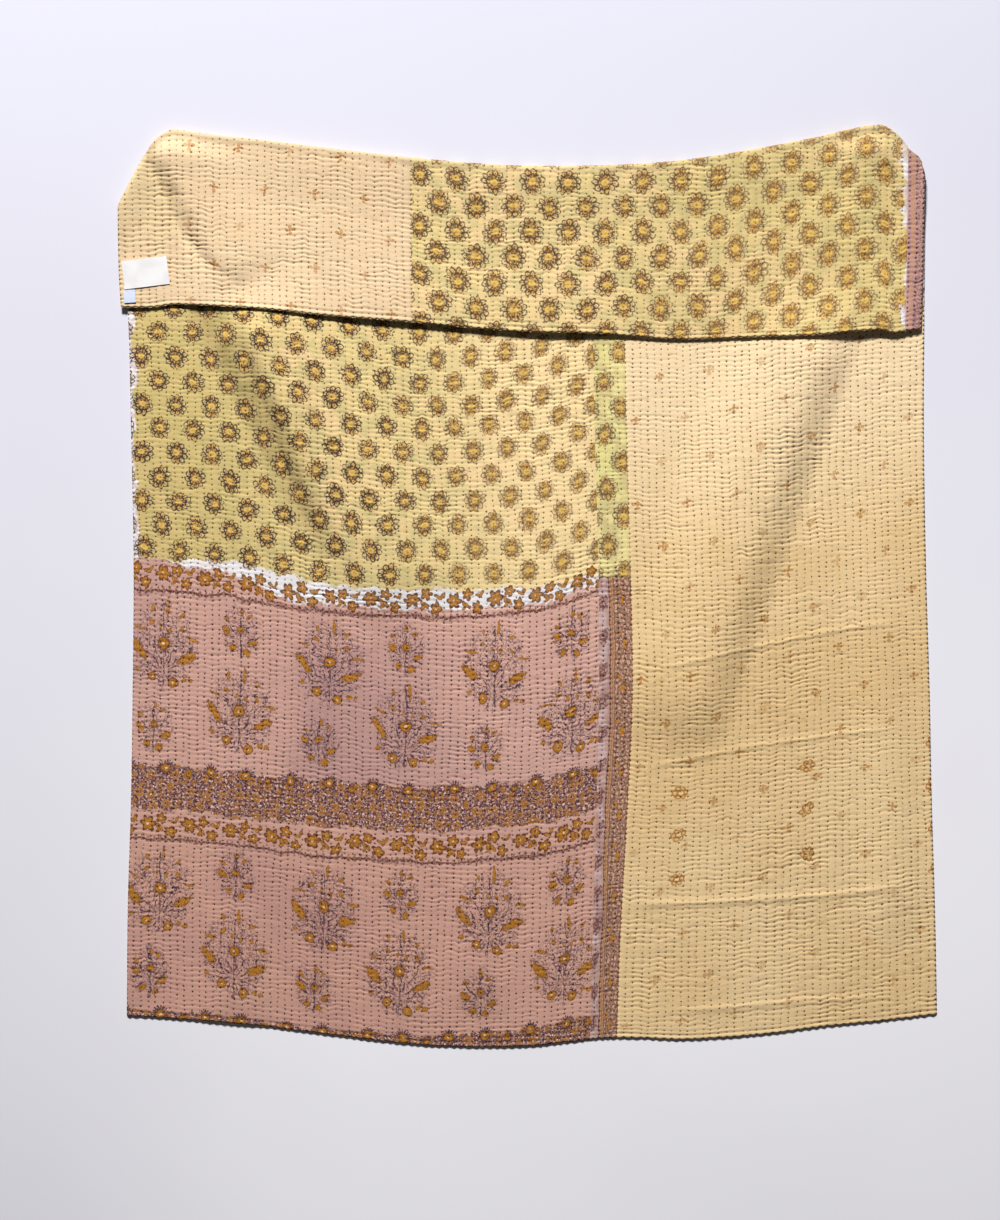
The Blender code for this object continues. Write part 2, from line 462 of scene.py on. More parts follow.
def edge_samples(start, end, step, first_rim, last_rim, rim_size):
    """Evenly spaced values from start to end, with closer ones where the cloth's edge is rounded."""
    values = list(np.arange(start, end + step / 2, step))
    values[-1] = end
    close = [rim_size * share for share in RIM_SHARES]
    if first_rim:
        values[1:1] = [start + c for c in close]
    if last_rim:
        values[-1:-1] = [end - c for c in reversed(close)]
    return np.array(values)


def column_samples(low, high, step):
    return edge_samples(low, high, step, low == 0, high == COLUMNS, HALF / COLUMN)


def row_samples(last, step):
    """Rows from a hem, which is rounded, to one that lies on under other cloth."""
    return edge_samples(0, last, step, True, False, HALF / STITCH)


def grooves(column, row, seams):
    """How deep the seams and the hem are sunk."""
    depth = HEM_DEPTH * np.clip(1 - np.abs(row - HEM_ROW) / HEM_REACH, 0, 1)
    for seam in seams:
        depth += SEAM_DEPTH * np.clip(1 - np.abs(column - seam) / SEAM_REACH, 0, 1)
    return depth


def edge_round(column, from_hem):
    """1 on the cloth, falling to 0 round its sides and its hem."""
    to_side = np.minimum(column, COLUMNS - column) * COLUMN
    return np.minimum(rim(to_side), rim(from_hem))


def notched(points, column, row):
    """Draws in the sides at every stitch of theirs and the hem at every line of stitching."""
    row_pull = 1 - np.abs(np.sin(math.pi * row))
    column_pull = np.cos(math.pi * column) ** 2
    near_left = 1 - eased(column / NOTCH_COLUMNS)
    near_right = 1 - eased((COLUMNS - column) / NOTCH_COLUMNS)
    points[..., 0] += EDGE_NOTCH * row_pull * (near_left - near_right)
    points[..., 1] += EDGE_NOTCH * column_pull * (1 - eased(row / NOTCH_ROWS))
    return points


def quilted(middle, column, row, depth, sunk=0.0):
    """The cloth's outer face, and how deep each of its points is drawn in."""
    offsets = edge_round(column, row * STITCH) * (HALF - PUCKER * depth - sunk)
    return notched(raised(middle, offsets), column, row), depth


def front_face(column, row):
    """The front of the body."""
    seams = (STRIP_FROM, STRIP_TO)
    across, from_foot = stitched(FRONT_SEED, column, row, seams)
    left = looked_up(SEAM_SHIFTS, from_foot, 1)
    right = looked_up(SEAM_SHIFTS, from_foot, 2)
    in_strip = between(left, right, (column - STRIP_FROM) / (STRIP_TO - STRIP_FROM))
    past_strip = right * (COLUMNS - column) / (COLUMNS - STRIP_TO)
    lean = np.where(column < STRIP_TO, in_strip, past_strip)
    lean = np.where(column < STRIP_FROM, left * column / STRIP_FROM, lean)
    middle = body_middle(across + lean, from_foot)
    depth = puckers(FRONT_SEED, column, row, FRONT_SLACK)
    return quilted(middle, column, row, depth, grooves(column, row, seams))


def turned_face(column, row):
    """The back of the quilt, which shows on the flap and runs on round the fold."""
    across, from_hem = stitched(TURNED_SEED, column, row, TURNED_SEAMS)
    depth = puckers(TURNED_SEED, column, row, TURNED_SLACK)
    sunk = grooves(column, row, TURNED_SEAMS)
    return quilted(turned_middle(across, from_hem), column, row, depth, sunk)


def under_face(column, row):
    """The back of the quilt under the body, from the foot hem to where the turned part ends."""
    across = column / COLUMNS
    ends = turned_middle(across, np.full_like(across, TURNED_ROWS * STITCH))[..., 1]
    middle = body_place(across, between(looked_up(ACROSS, across, 3), ends, row / UNDER_ROWS))
    return quilted(middle, column, row, puckers(UNDER_SEED, column, row))


def inner_face(column, row):
    """The front of the quilt where it is hidden, from below the flap's hem, round the fold and back."""
    across = column / COLUMNS
    start = fold_start(across)
    foot, hem = looked_up(ACROSS, across, 3), looked_up(ACROSS, across, 2)
    fold_from, fold_to = INNER_FOLD
    y = between(foot + BODY_ROWS * STITCH, start, np.clip(row / fold_from, 0, 1))
    flat = start - hem
    radius = (turned_middle(across, flat)[..., 2] - body_place(across, start)[..., 2]) / 2
    turn = np.clip((row - fold_from) / (fold_to - fold_from), 0, 1)
    up = np.clip((row - fold_to) / (INNER_ROWS - fold_to), 0, 1)
    from_hem = np.where(row <= fold_to, flat + math.pi * radius * (1 - turn), flat * (1 - up))
    above = turned_middle(across, from_hem)
    middle = np.where((row < fold_from)[..., None], body_place(across, y), above)
    return raised(middle, edge_round(column, from_hem) * HALF * INNER_SHARE), np.zeros_like(column)


# ---------------------------------------------------------------- meshes


def added(name, data):
    obj = bpy.data.objects.new(name, data)
    bpy.context.scene.collection.objects.link(obj)
    return obj


def cloth_mesh(name, columns, rows, face, print_place, edges):
    """A grid of cloth at the given columns and rows, with its stitch, print and bake coordinates."""
    bm = bmesh.new()
    bmesh.ops.create_grid(bm, x_segments=len(columns) - 1, y_segments=len(rows) - 1, size=1.0)
    mesh = bpy.data.meshes.new(name)
    bm.to_mesh(mesh)
    bm.free()
    flat = np.empty(len(mesh.vertices) * 3)
    mesh.vertices.foreach_get("co", flat)
    shares = (flat.reshape(-1, 3)[:, :2] + 1) / 2
    i = np.rint(shares[:, 0] * (len(columns) - 1)).astype(int)
    j = np.rint(shares[:, 1] * (len(rows) - 1)).astype(int)
    column, row = np.meshgrid(columns, rows, indexing="ij")
    points, depth = face(column, row)
    mesh.vertices.foreach_set("co", points[i, j].ravel())
    corner = np.empty(len(mesh.loops), dtype=np.int32)
    mesh.loops.foreach_get("vertex_index", corner)
    across, along = print_place(column, row)
    first, second = edges(column, row)
    bake = BAKE_MARGIN + (1 - 2 * BAKE_MARGIN) * shares
    for layer, u, v in (
        ("edges", first[i, j], second[i, j]),
        ("stitch", column[i, j], row[i, j]),
        ("cloth", across[i, j], along[i, j]),
        ("OFBake", bake[:, 0], bake[:, 1]),
    ):
        uv = mesh.uv_layers.new(name=layer)
        uv.uv.foreach_set("vector", np.stack((u, v), axis=-1)[corner].astype(np.float32).ravel())
    drawn = mesh.attributes.new("drawn", "FLOAT", "POINT")
    drawn.data.foreach_set("value", depth[i, j].astype(np.float32))
    mesh.shade_smooth()
    mesh.update()
    return added(name, mesh)


def front_print(column, row):
    """Metres across and along the front's prints, which creep up towards their right side."""
    across = column * COLUMN
    along = row * STITCH
    return across, along - looked_up(PRINT_LIFT, across, 1)


def plain_print(column, row):
    return column * COLUMN, row * STITCH


def turned_print(column, row):
    """Metres across and along the turned cloth's print, whose rows rise towards the right."""
    across = column * COLUMN
    return across, row * STITCH - looked_up(TURNED_LIFT, across, 1)


def gap_edges(column, row):
    """How far each point is above the medallion print's lower edge, and below the pink's upper one."""
    across, along = front_print(column, row)
    return along - looked_up(PRINT_GAP, across, 1), looked_up(PRINT_GAP, across, 2) - along


def fold_edges(column, row):
    """How far each point of the turned cloth is past the start of the fold, and from its hem."""
    across = column / COLUMNS
    flat = fold_start(across) - looked_up(ACROSS, across, 2)
    return row * STITCH - flat, row * STITCH


def no_edges(column, row):
    """For cloth that has neither the bare gap nor the fold."""
    return np.ones_like(column), np.ones_like(row)


# ---------------------------------------------------------------- materials


def tint(red, green, blue):
    """A screen colour, 0 to 255 a channel, as linear light."""
    return tuple(((c / 255 + 0.055) / 1.055) ** 2.4 for c in (red, green, blue)) + (1.0,)


def wire(value, slot):
    if isinstance(value, Term):
        slot.id_data.links.new(value.socket, slot)
    else:
        slot.default_value = value


class Term:
    """A number, vector or colour inside a finish, with arithmetic."""

    def __init__(self, finish, socket):
        self.finish, self.socket = finish, socket

    def math(self, operation, *others):
        inputs = dict(enumerate((self, *others)))
        return self.finish.node("ShaderNodeMath", inputs, operation=operation)

    def __add__(self, other):
        return self.math("ADD", other)

    def __sub__(self, other):
        return self.math("SUBTRACT", other)

    def __rsub__(self, other):
        return self.finish.node("ShaderNodeMath", {0: other, 1: self}, operation="SUBTRACT")

    def __mul__(self, other):
        return self.math("MULTIPLY", other)

    def __truediv__(self, other):
        return self.math("DIVIDE", other)

    def least(self, other):
        return self.math("MINIMUM", other)

    def most(self, other):
        return self.math("MAXIMUM", other)

    def wrapped(self, low, high):
        return self.math("WRAP", high, low)

    def step(self, start, end):
        """0 at start to 1 at end, with level ends; start may be the larger."""
        inputs = {"Value": self, "From Min": start, "From Max": end}
        return self.finish.node("ShaderNodeMapRange", inputs, interpolation_type="SMOOTHSTEP")

    def ridge(self, crest, foot, top):
        """1 where the value is within top of the crest, 0 where it is more than foot from it."""
        return (self - crest).math("ABSOLUTE").step(foot, top)

    def split(self):
        parts = self.finish.tree.nodes.new("ShaderNodeSeparateXYZ")
        wire(self, parts.inputs[0])
        return Term(self.finish, parts.outputs[0]), Term(self.finish, parts.outputs[1])

    def length(self):
        made = self.finish.tree.nodes.new("ShaderNodeVectorMath")
        made.operation = "LENGTH"
        wire(self, made.inputs[0])
        return Term(self.finish, made.outputs["Value"])

    def shifted(self, other, size):
        """A vector moved by another one times a size."""
        inputs = {0: other, 1: (size, size, 0.0), 2: self}
        return self.finish.node("ShaderNodeVectorMath", inputs, operation="MULTIPLY_ADD")


class Finish:
    """One material, whose nodes are made by its methods."""

    def __init__(self, name):
        self.material = bpy.data.materials.new(name)
        self.material.use_nodes = True
        self.tree = self.material.node_tree
        self.shader = self.tree.nodes["Principled BSDF"]

    def node(self, kind, inputs, out=0, **settings):
        made = self.tree.nodes.new(kind)
        for key, value in settings.items():
            setattr(made, key, value)
        for slot, value in inputs.items():
            wire(value, made.inputs[slot])
        return Term(self, made.outputs[out])

    def uv(self, name):
        return self.node("ShaderNodeUVMap", {}, uv_map=name)

    def attribute(self, name):
        return self.node("ShaderNodeAttribute", {}, out="Fac", attribute_name=name)

    def point(self, x, y):
        return self.node("ShaderNodeCombineXYZ", {0: x, 1: y})

    def noise(self, place, scale, detail=1.0, rough=0.5):
        inputs = {"Vector": place, "Scale": scale, "Detail": detail, "Roughness": rough}
        return self.node("ShaderNodeTexNoise", inputs, noise_dimensions="2D")

    def swirl(self, place, scale):
        """A noise vector around zero, for roughening outlines."""
        inputs = {"Vector": place, "Scale": scale, "Detail": 1.0}
        colour = self.node("ShaderNodeTexNoise", inputs, out="Color", noise_dimensions="2D")
        return self.node("ShaderNodeVectorMath", {0: colour, 1: (0.5, 0.5, 0.5)}, operation="SUBTRACT")

    def mix(self, first, second, share):
        made = self.tree.nodes.new("ShaderNodeMix")
        made.data_type = "RGBA"
        for slot, value in ((0, share), (6, first), (7, second)):
            wire(value, made.inputs[slot])
        return Term(self, made.outputs[2])

    def blend(self, low, high, share):
        """A number between two others."""
        return self.node("ShaderNodeMix", {0: share, 2: low, 3: high}, data_type="FLOAT")

    def blot(self, place, x, y, half_width, half_height, turn=0.0):
        """Distance from the middle of a leaf or petal, 1 at its outline."""
        inputs = {
            "Vector": place,
            "Location": (x, y, 0.0),
            "Rotation": (0.0, 0.0, math.radians(turn)),
            "Scale": (half_width, half_height, 1.0),
        }
        return self.node("ShaderNodeMapping", inputs, vector_type="TEXTURE").length()

    def blots(self, place, shapes):
        """Distance from the nearest of several leaves or petals."""
        found = self.blot(place, *shapes[0])
        for shape in shapes[1:]:
            found = found.least(self.blot(place, *shape))
        return found

    def flower(self, place, x, y, radius, petals):
        """Distance from a flower's middle, 1 at the outline of its petals."""
        inputs = {"Vector": place, "Location": (x, y, 0.0), "Scale": (radius, radius, 1.0)}
        local = self.node("ShaderNodeMapping", inputs, vector_type="TEXTURE")
        east, north = local.split()
        lobes = (north.math("ARCTAN2", east) * (petals / 2)).math("COSINE").math("ABSOLUTE")
        return local.length() / (lobes * 0.42 + 0.60)

    def flowers(self, place, shapes):
        found = self.flower(place, *shapes[0])
        for shape in shapes[1:]:
            found = found.least(self.flower(place, *shape))
        return found

    def finished(self, colour, height, depth):
        """Joins up the cloth's colour and its fine relief, a number of metres deep."""
        wire(colour, self.shader.inputs["Base Color"])
        bump = self.node("ShaderNodeBump", {"Height": height, "Distance": depth, "Strength": 1.0})
        wire(bump, self.shader.inputs["Normal"])
        self.shader.inputs["Roughness"].default_value = 0.92
        self.shader.inputs["Specular IOR Level"].default_value = 0.18
        self.shader.inputs["Sheen Weight"].default_value = 0.10
        self.shader.inputs["Sheen Roughness"].default_value = 0.5
        return self.material


# Screen colours of the cloths
CREAM_PALE, CREAM_DEEP, CREAM_FOOT_LIGHT = tint(236, 205, 154), tint(228, 194, 140), tint(242, 210, 160)
CREAM_FADED, CREAM_CORNER_SHADE, CREAM_ROSY = tint(241, 214, 172), tint(206, 184, 136), tint(223, 196, 164)
STRAW, PEACH, SAGE = tint(226, 200, 138), tint(238, 203, 151), tint(206, 188, 130)
DEEP_STRAW, LIGHT_PEACH = tint(192, 170, 103), tint(246, 216, 160)
STRIP_PALE, STRIP_GREEN = tint(238, 220, 154), tint(226, 214, 140)
PINK, PINK_COOL = tint(206, 160, 145), tint(189, 146, 138)
PINK_PALE, PINK_DEEP = tint(220, 174, 157), tint(206, 152, 128)
BORDER_PALE, BORDER_DEEP = tint(192, 154, 142), tint(172, 132, 126)
MAUVE_PALE, MAUVE_DEEP = tint(196, 152, 142), tint(172, 130, 126)
BARE_WHITE, LAVENDER = tint(232, 226, 226), tint(208, 182, 180)

# Screen colours of the inks
DOBBY, DOBBY_RED, BLOOM = tint(172, 114, 46), tint(184, 118, 70), tint(206, 164, 104)
LENS, AMBER = tint(218, 182, 96), tint(176, 124, 50)
PETAL_PALE, PETAL_OCHRE = tint(236, 200, 142), tint(208, 156, 76)
INK_VIOLET, INK_GREEN = tint(50, 34, 44), tint(32, 40, 40)
GOLD, BRONZE, PLUM, INDIGO = tint(188, 124, 28), tint(100, 54, 22), tint(92, 50, 54), tint(48, 36, 66)
FLOWER_HEART, BEIGE = tint(222, 190, 168), tint(196, 146, 100)
BAND_GOLD, BAND_ROSE, BAND_PALE = tint(162, 104, 30), tint(176, 122, 98), tint(244, 210, 196)
BORDER_BLOTCH, BORDER_BAND, BORDER_SPECK = tint(170, 124, 110), tint(222, 170, 142), tint(222, 184, 156)
BORDER_OLIVE, BORDER_DARK = tint(142, 106, 54), tint(88, 52, 48)

# Screen colours of the stitch holes' and dimples' painted shade, of the fleck, and of the painted shade
# along folds
HOLE_SHADE, CREAM_HOLE_SHADE, PINK_HOLE_SHADE = tint(104, 78, 40), tint(106, 70, 24), tint(60, 34, 38)
TURNED_HOLE_SHADE = tint(122, 88, 44)
FLECK, OLIVE_FOLD_SHADE, GREY_FOLD_SHADE = tint(150, 120, 90), tint(138, 120, 66), tint(120, 108, 84)
HOLE_SHADE_SIZE, PINK_HOLE_SHADE_SIZE = 0.140, 0.160   # from the middle of a hole's painted shade to its soft outline, in columns
WEFT, WARP = 3600.0, 3900.0                # of the weave, in radians to the metre


def quilting(finish, colour, hole_shade=HOLE_SHADE, size=HOLE_SHADE_SIZE):
    """Adds stitch holes as spots of painted shade, thread and the painted shade of the dimples to a cloth's
    colour, and finishes it.
    """
    stitch = finish.uv("stitch")
    east, north = stitch.shifted(finish.swirl(stitch, 0.9), 0.22).split()
    # a hole is nearly twice as long as it is wide
    near = finish.point(east.wrapped(-0.5, 0.5) * 1.05, north.wrapped(-0.5, 0.5) * 0.56).length()
    strength = finish.noise(stitch, 0.95).step(0.32, 0.60) * 0.60 + 0.38
    # each stitch hole is a spot of painted shade, and the bump dents it
    dot = near.step(size, 0.055) * strength
    drawn = finish.attribute("drawn")
    # painted shade of the dimples, deeper where the cloth is drawn in further
    shade = drawn.step(0.10, 1.20) * 0.34 + drawn.step(1.10, 1.60) * 0.30
    colour = finish.mix(colour, hole_shade, shade)
    colour = finish.mix(colour, hole_shade, dot)
    cloth = finish.uv("cloth")
    weft, warp = cloth.split()
    threads = (weft * WEFT).math("SINE") * (warp * WARP).math("SINE")
    slub = finish.noise(finish.point(weft, warp * 5.0), 160.0, 2.0)
    return finish.finished(colour, threads * 0.12 + slub * 0.5 - dot * 1.4, 0.0006)


def mottled(finish, cloth, pale, deep, scale):
    """Two shades of one dye in soft patches, with a faint fleck of the weave."""
    patches = finish.noise(cloth, scale, 3.0, 0.6).step(0.36, 0.64)
    fleck = finish.noise(cloth, 420.0, 1.0).step(0.30, 0.75) * 0.10
    colour = finish.mix(pale, deep, patches)
    return finish.mix(colour, FLECK, fleck)


# One woven figure and the marks between figures: x, y, half width and half height of each dot
WOVEN_FIGURE = (
    (0.0, 0.0, 0.0030, 0.0028),
    (0.0008, 0.0056, 0.0034, 0.0036),
    (-0.0062, 0.0010, 0.0040, 0.0030),
    (0.0064, 0.0014, 0.0042, 0.0030),
    (0.0004, -0.0056, 0.0037, 0.0032),
)
WOVEN_STEP = 0.047        # across, from a figure to the next one of the row above
MARK_SIZES = ((0.0036, 0.0024), (0.0030, 0.0026))

# The front's printed flowers: x and y of one, distances across and along, slope of their rows
BLOOM_X, BLOOM_Y = 1.044, 0.302
BLOOM_ACROSS, BLOOM_ALONG, BLOOM_SLOPE = 0.235, 0.082, 0.10
BLOOM_PETALS, PETAL_OUT, PETAL_SIZE = 6, 0.0092, 0.0054


def cream_cloth(name, figure, slope, step, faded, tone):
    """Plain cream cloth with small woven figures in staggered rows, and fainter marks between them.

    figure is the place of one figure, slope and step are the rise of a row and the distance to the next,
    and faded is where the cloth begins to fade along its length, where it has done so, and how much.
    """
    finish = Finish(name)
    cloth = finish.uv("cloth")
    colour = mottled(finish, cloth, CREAM_PALE, CREAM_DEEP, 2.4)
    _, up = cloth.shifted(finish.swirl(cloth, 1.5), 0.30).split()
    faded_from, faded_to, share = faded
    colour = finish.mix(colour, tone, up.step(faded_from, faded_to) * share)
    across, along = figure
    east, north = cloth.shifted(finish.swirl(cloth, 190.0), 0.0014).split()
    north = north - east * slope - (along - slope * across)
    east = east - across
    wide, narrow = MARK_SIZES
    half = WOVEN_STEP / 2
    figures, marks = [], []
    for shift_x, shift_y in ((0.0, 0.0), (WOVEN_STEP, step)):
        x = (east - shift_x).wrapped(-WOVEN_STEP, WOVEN_STEP)
        y = (north - shift_y).wrapped(-step, step)
        place = finish.point(x, y)
        figures.append(finish.blots(place, WOVEN_FIGURE))
        marks.append(finish.blots(place, ((half, step / 2, *wide), (-half, step / 2, *narrow))))
    worn = finish.noise(cloth, 260.0).step(0.34, 0.58) * 0.35 + 0.50
    worn = worn * (finish.noise(cloth, 7.0).step(0.34, 0.60) * 0.45 + 0.55)
    colour = finish.mix(colour, DOBBY, figures[0].least(figures[1]).step(1.10, 0.75) * worn)
    shade = finish.mix(DOBBY_RED, DOBBY, finish.noise(cloth, 24.0).step(0.45, 0.55))
    colour = finish.mix(colour, shade, marks[0].least(marks[1]).step(1.20, 0.60) * worn * 0.55)
    return finish, colour, cloth


def front_cream():
    finish, colour, cloth = cream_cloth(
        "front_cream_cloth", (1.105, 1.093), 0.10, 0.081, (0.85, 1.25, 0.85), CREAM_FADED
    )
    east, north = cloth.shifted(finish.swirl(cloth, 160.0), 0.003).split()
    # painted light: the cream is paler towards the foot, where the lamp's light falls off
    colour = finish.mix(colour, CREAM_FOOT_LIGHT, north.step(0.50, 0.10) * 0.26)
    x = (east - BLOOM_X).wrapped(-BLOOM_ACROSS / 2, BLOOM_ACROSS / 2)
    y = (north - BLOOM_Y - (east - BLOOM_X) * BLOOM_SLOPE).wrapped(-BLOOM_ALONG / 2, BLOOM_ALONG / 2)
    inside = north.step(0.262, 0.27) * north.step(0.540, 0.530)
    sector = math.tau / BLOOM_PETALS
    turn = y.math("ARCTAN2", x).wrapped(-sector / 2, sector / 2)
    reach = finish.point(x, y * 1.12).length()
    petal = finish.point(reach * turn.math("COSINE") - PETAL_OUT, reach * turn.math("SINE"))
    petal = petal.length() / PETAL_SIZE
    outline = petal.ridge(0.74, 0.34, 0.16) * inside
    ink = outline * (finish.noise(cloth, 240.0).step(0.30, 0.50) * 0.35 + 0.60)
    colour = finish.mix(colour, BLOOM, petal.step(1.0, 0.7) * inside * 0.55)
    return quilting(finish, finish.mix(colour, DOBBY, ink), CREAM_HOLE_SHADE)


def paint_fold_shade(finish, colour):
    """Painted shade: a greyer line along the fold."""
    past_fold, _ = finish.uv("edges").split()
    # painted shade along the roll of the fold
    worn = past_fold.step(-0.012, 0.002) * past_fold.step(0.040, 0.020)
    return finish.mix(colour, GREY_FOLD_SHADE, worn * 0.36)


def turned_cream():
    finish, colour, cloth = cream_cloth(
        "turned_cream_cloth", (0.180, 0.226), 0.0, 0.072, (2.0, 1.0, 0.60), CREAM_ROSY
    )
    east, north = cloth.shifted(finish.swirl(cloth, 12.0), 0.03).split()
    # painted shade over the flap's upper left corner, which is turned away from the lamp
    corner = (east + north * 0.49 - 0.212).step(0.012, -0.020) * north.step(0.08, 0.20)
    colour = finish.mix(colour, CREAM_CORNER_SHADE, corner * 0.55)
    return quilting(finish, paint_fold_shade(finish, colour), TURNED_HOLE_SHADE)


# The medallion prints: x and y of one flower, distance to the next one in its row, distance to the next
# row, and radius of a flower
FRONT_MEDALLIONS = (0.021, 0.879, 0.0665, 0.046, 0.0205)
STRIP_MEDALLIONS = (0.905, 0.885, 0.064, 0.052, 0.0215)
TURNED_MEDALLIONS = (0.6000, 0.0450, 0.0697, 0.0473, 0.0232)
MEDALLIONS_FROM = 0.8556  # where the front's medallions begin, along the print
GARLAND_ENDS = (0.8555, 0.8545)        # and where the garland under them stops
LENS_WIDE, LENS_TALL = 0.32, 0.24      # half sizes of a flower's heart, in shares of its radius


def nearest_flower(finish, east, north, across, along, width, height):
    """Where each point is from the middle of the nearest flower in staggered rows."""
    x_a = (east - across).wrapped(-width / 2, width / 2)
    y_a = (north - along).wrapped(-height, height)
    x_b = (east - across - width / 2).wrapped(-width / 2, width / 2)
    y_b = (north - along - height).wrapped(-height, height)
    off_a, off_b = finish.point(x_a, y_a).length(), finish.point(x_b, y_b).length()
    nearer = off_b.math("LESS_THAN", off_a)
    return finish.blend(x_a, x_b, nearer), finish.blend(y_a, y_b, nearer)


def medallions(finish, cloth, ground, sizes, dark, above=-1.0):
    """Round flower heads in staggered rows, printed over the ground, but not below a given place."""
    *repeat, size = sizes
    rough = cloth.shifted(finish.swirl(cloth, 150.0), 0.0028)
    rough = rough.shifted(finish.swirl(cloth, 15.0), 0.008)
    east, north = rough.split()
    x, y = nearest_flower(finish, east, north, *repeat)
    missing = north.step(above, above - 0.001) * 9.0
    out = finish.point(x, y).length() / size + missing
    lens = finish.point(x / (size * LENS_WIDE), y / (size * LENS_TALL)).length() + missing
    angle = y.math("ARCTAN2", x)
    petal = (angle * 5.5).math("SINE").math("ABSOLUTE")
    inner = (angle * 4.5 + 0.4).math("SINE").math("ABSOLUTE")
    lobed = out - petal * 0.24
    worn = finish.noise(cloth, 330.0, 2.0)
    heavy = finish.noise(cloth, 22.0).step(0.30, 0.70) * 0.16

    # gaps between the petals, their rounded tips, a midrib in each, and the dark rings round the heart
    gaps = petal.step(0.74, 0.40) * out.step(0.40, 0.46) * out.step(1.00, 0.84)
    tips = lobed.ridge(0.77, 0.095, 0.045) * (finish.noise(cloth, 170.0).step(0.34, 0.48) * 0.55 + 0.40)
    ribs = petal.step(0.90, 0.97) * out.step(0.54, 0.60) * out.step(0.86, 0.78) * 0.7
    ring = (out - inner * 0.10).ridge(0.52, 0.120, 0.055)
    heart = (inner.step(0.85, 0.55) * 0.5 + 0.5) * lens.step(1.08, 1.24) * out.step(0.48, 0.40)
    ink = gaps.most(tips).most(heart).most(ribs).most(ring)
    ink = ink * (worn + heavy).step(0.34, 0.50)

    # pale petals, ochre in the upright ones and inwards, and an amber spot and rim on the heart
    upright = y.math("ABSOLUTE") - x.math("ABSOLUTE") * 1.3
    fill = lobed.step(0.82, 0.76) * (worn.step(0.40, 0.65) * 0.35 + 0.50)
    ochre = upright.step(-0.004, 0.009) * 0.8 + out.step(0.90, 0.55) * 0.8
    amber = (lens.step(0.55, 0.25) * 0.50).most(lens.ridge(1.04, 0.16, 0.05) * 0.5)
    shade = finish.mix(INK_VIOLET, INK_GREEN, finish.noise(cloth, 60.0).step(0.45, 0.6))
    colour = finish.mix(ground, PETAL_PALE, fill * 0.50)
    colour = finish.mix(colour, PETAL_OCHRE, fill * ochre)
    colour = finish.mix(colour, shade, ink * dark)
    colour = finish.mix(colour, LENS, lens.step(1.10, 0.92) * 0.95)
    return finish.mix(colour, AMBER, amber)


def straw_ground(finish, cloth, pale, deep):
    colour = mottled(finish, cloth, pale, deep, 3.0)
    patches = finish.noise(cloth.shifted(cloth, 0.7), 14.0, 3.0, 0.65).step(0.42, 0.62)
    return finish.mix(colour, SAGE, patches * 0.85)


def tendrils(finish, place, per_metre):
    """A net of thin curling lines: 1 on the lines."""
    made = finish.tree.nodes.new("ShaderNodeTexVoronoi")
    made.voronoi_dimensions = "2D"
    made.feature = "DISTANCE_TO_EDGE"
    made.inputs["Scale"].default_value = per_metre
    wire(place.shifted(finish.swirl(place, per_metre * 1.3), 0.5 / per_metre), made.inputs["Vector"])
    return Term(finish, made.outputs["Distance"]).step(0.145, 0.060)


def daisies(finish, place, per_metre):
    """Scattered round flowers: where each point is from the nearest one's middle, and how far."""
    made = finish.tree.nodes.new("ShaderNodeTexVoronoi")
    made.voronoi_dimensions = "2D"
    made.inputs["Scale"].default_value = per_metre
    made.inputs["Randomness"].default_value = 0.7
    wire(place, made.inputs["Vector"])
    middle = Term(finish, made.outputs["Position"])
    off = finish.node("ShaderNodeVectorMath", {0: place, 1: middle}, operation="SUBTRACT")
    east, north = off.split()
    return east, north, Term(finish, made.outputs["Distance"])


# The pink print, in metres along it from the foot hem and across it from the left
SCALLOPS = 0.801          # the upper scalloped line
BLOCK = 0.465             # from one scalloped line to the next
BOUQUETS = 0.314          # from one large bouquet to the next of its row
FIRST_BOUQUET = 0.060     # across, to the left one
LARGE_DOWN = (0.094, 0.206)            # below the scalloped line, in even and in odd columns
SMALL_DOWN = (0.247, 0.058)
ODD_ASIDE, SMALL_ASIDE = 0.012, 0.017  # how far odd columns, and small ones in even columns, stand off
GARLAND = 0.0788          # from one large gold flower to the next
GARLAND_UP = 0.030        # how far their middles are above the line
GARLAND_START = 0.034     # across, to one of the lower row's large flowers
GARLAND_SHIFT = 0.0235    # how far right of those the upper row's are
GARLAND_LEAD = 0.0165     # room for the first flower on its left
BEAT = 0.0058             # half the distance between loops of the line
SUN_FROM, SUN_REPEAT = 0.064, 0.155    # place of one large sun, distance between two pairs of them
SUN_DOWN = 0.329          # how far the suns are below the scalloped line
SUN_LEAD = 0.035          # room for the first sun on its left
BAND_TOP, BAND_FOOT = (0.330, 0.334), (0.402, 0.398)   # soft edges of the dense band, below the line
BAND_DAISIES, BAND_LEAVES = 31.0, 54.0                 # of each to the metre

# Shapes of the prints, from the middle of each motif: x, y, half width, half height, turn in degrees
GARLAND_LEAVES = (
    (0.0190, -0.0055, 0.0034, 0.0064, 20),
    (0.0268, -0.0092, 0.0070, 0.0032, -50),
    (0.0200, -0.0135, 0.0060, 0.0030, 35),
    (0.0480, 0.0052, 0.0078, 0.0032, -18),
    (0.0556, 0.0096, 0.0068, 0.0030, 62),
)
GARLAND_HEARTS = (
    (0.0, 0.0, 0.0022, 0.0022),
    (0.0265, 0.0098, 0.0016, 0.0016),
    (0.0447, -0.0141, 0.0015, 0.0015),
)
LOOPS = (
    (0.0, 0.0048, 0.0024, 0.0030),
    (0.0, -0.0030, 0.0034, 0.0020),
)
LARGE_FLOWERS = (
    (0.0, 0.0, 0.0105, 0.0105),
    (-0.024, -0.060, 0.0090, 0.0090),
    (0.017, -0.072, 0.0090, 0.0090),
)
LARGE_HEARTS = (
    (0.0, 0.0, 0.0026, 0.0026),
    (-0.024, -0.060, 0.0019, 0.0019),
    (0.017, -0.072, 0.0019, 0.0019),
)
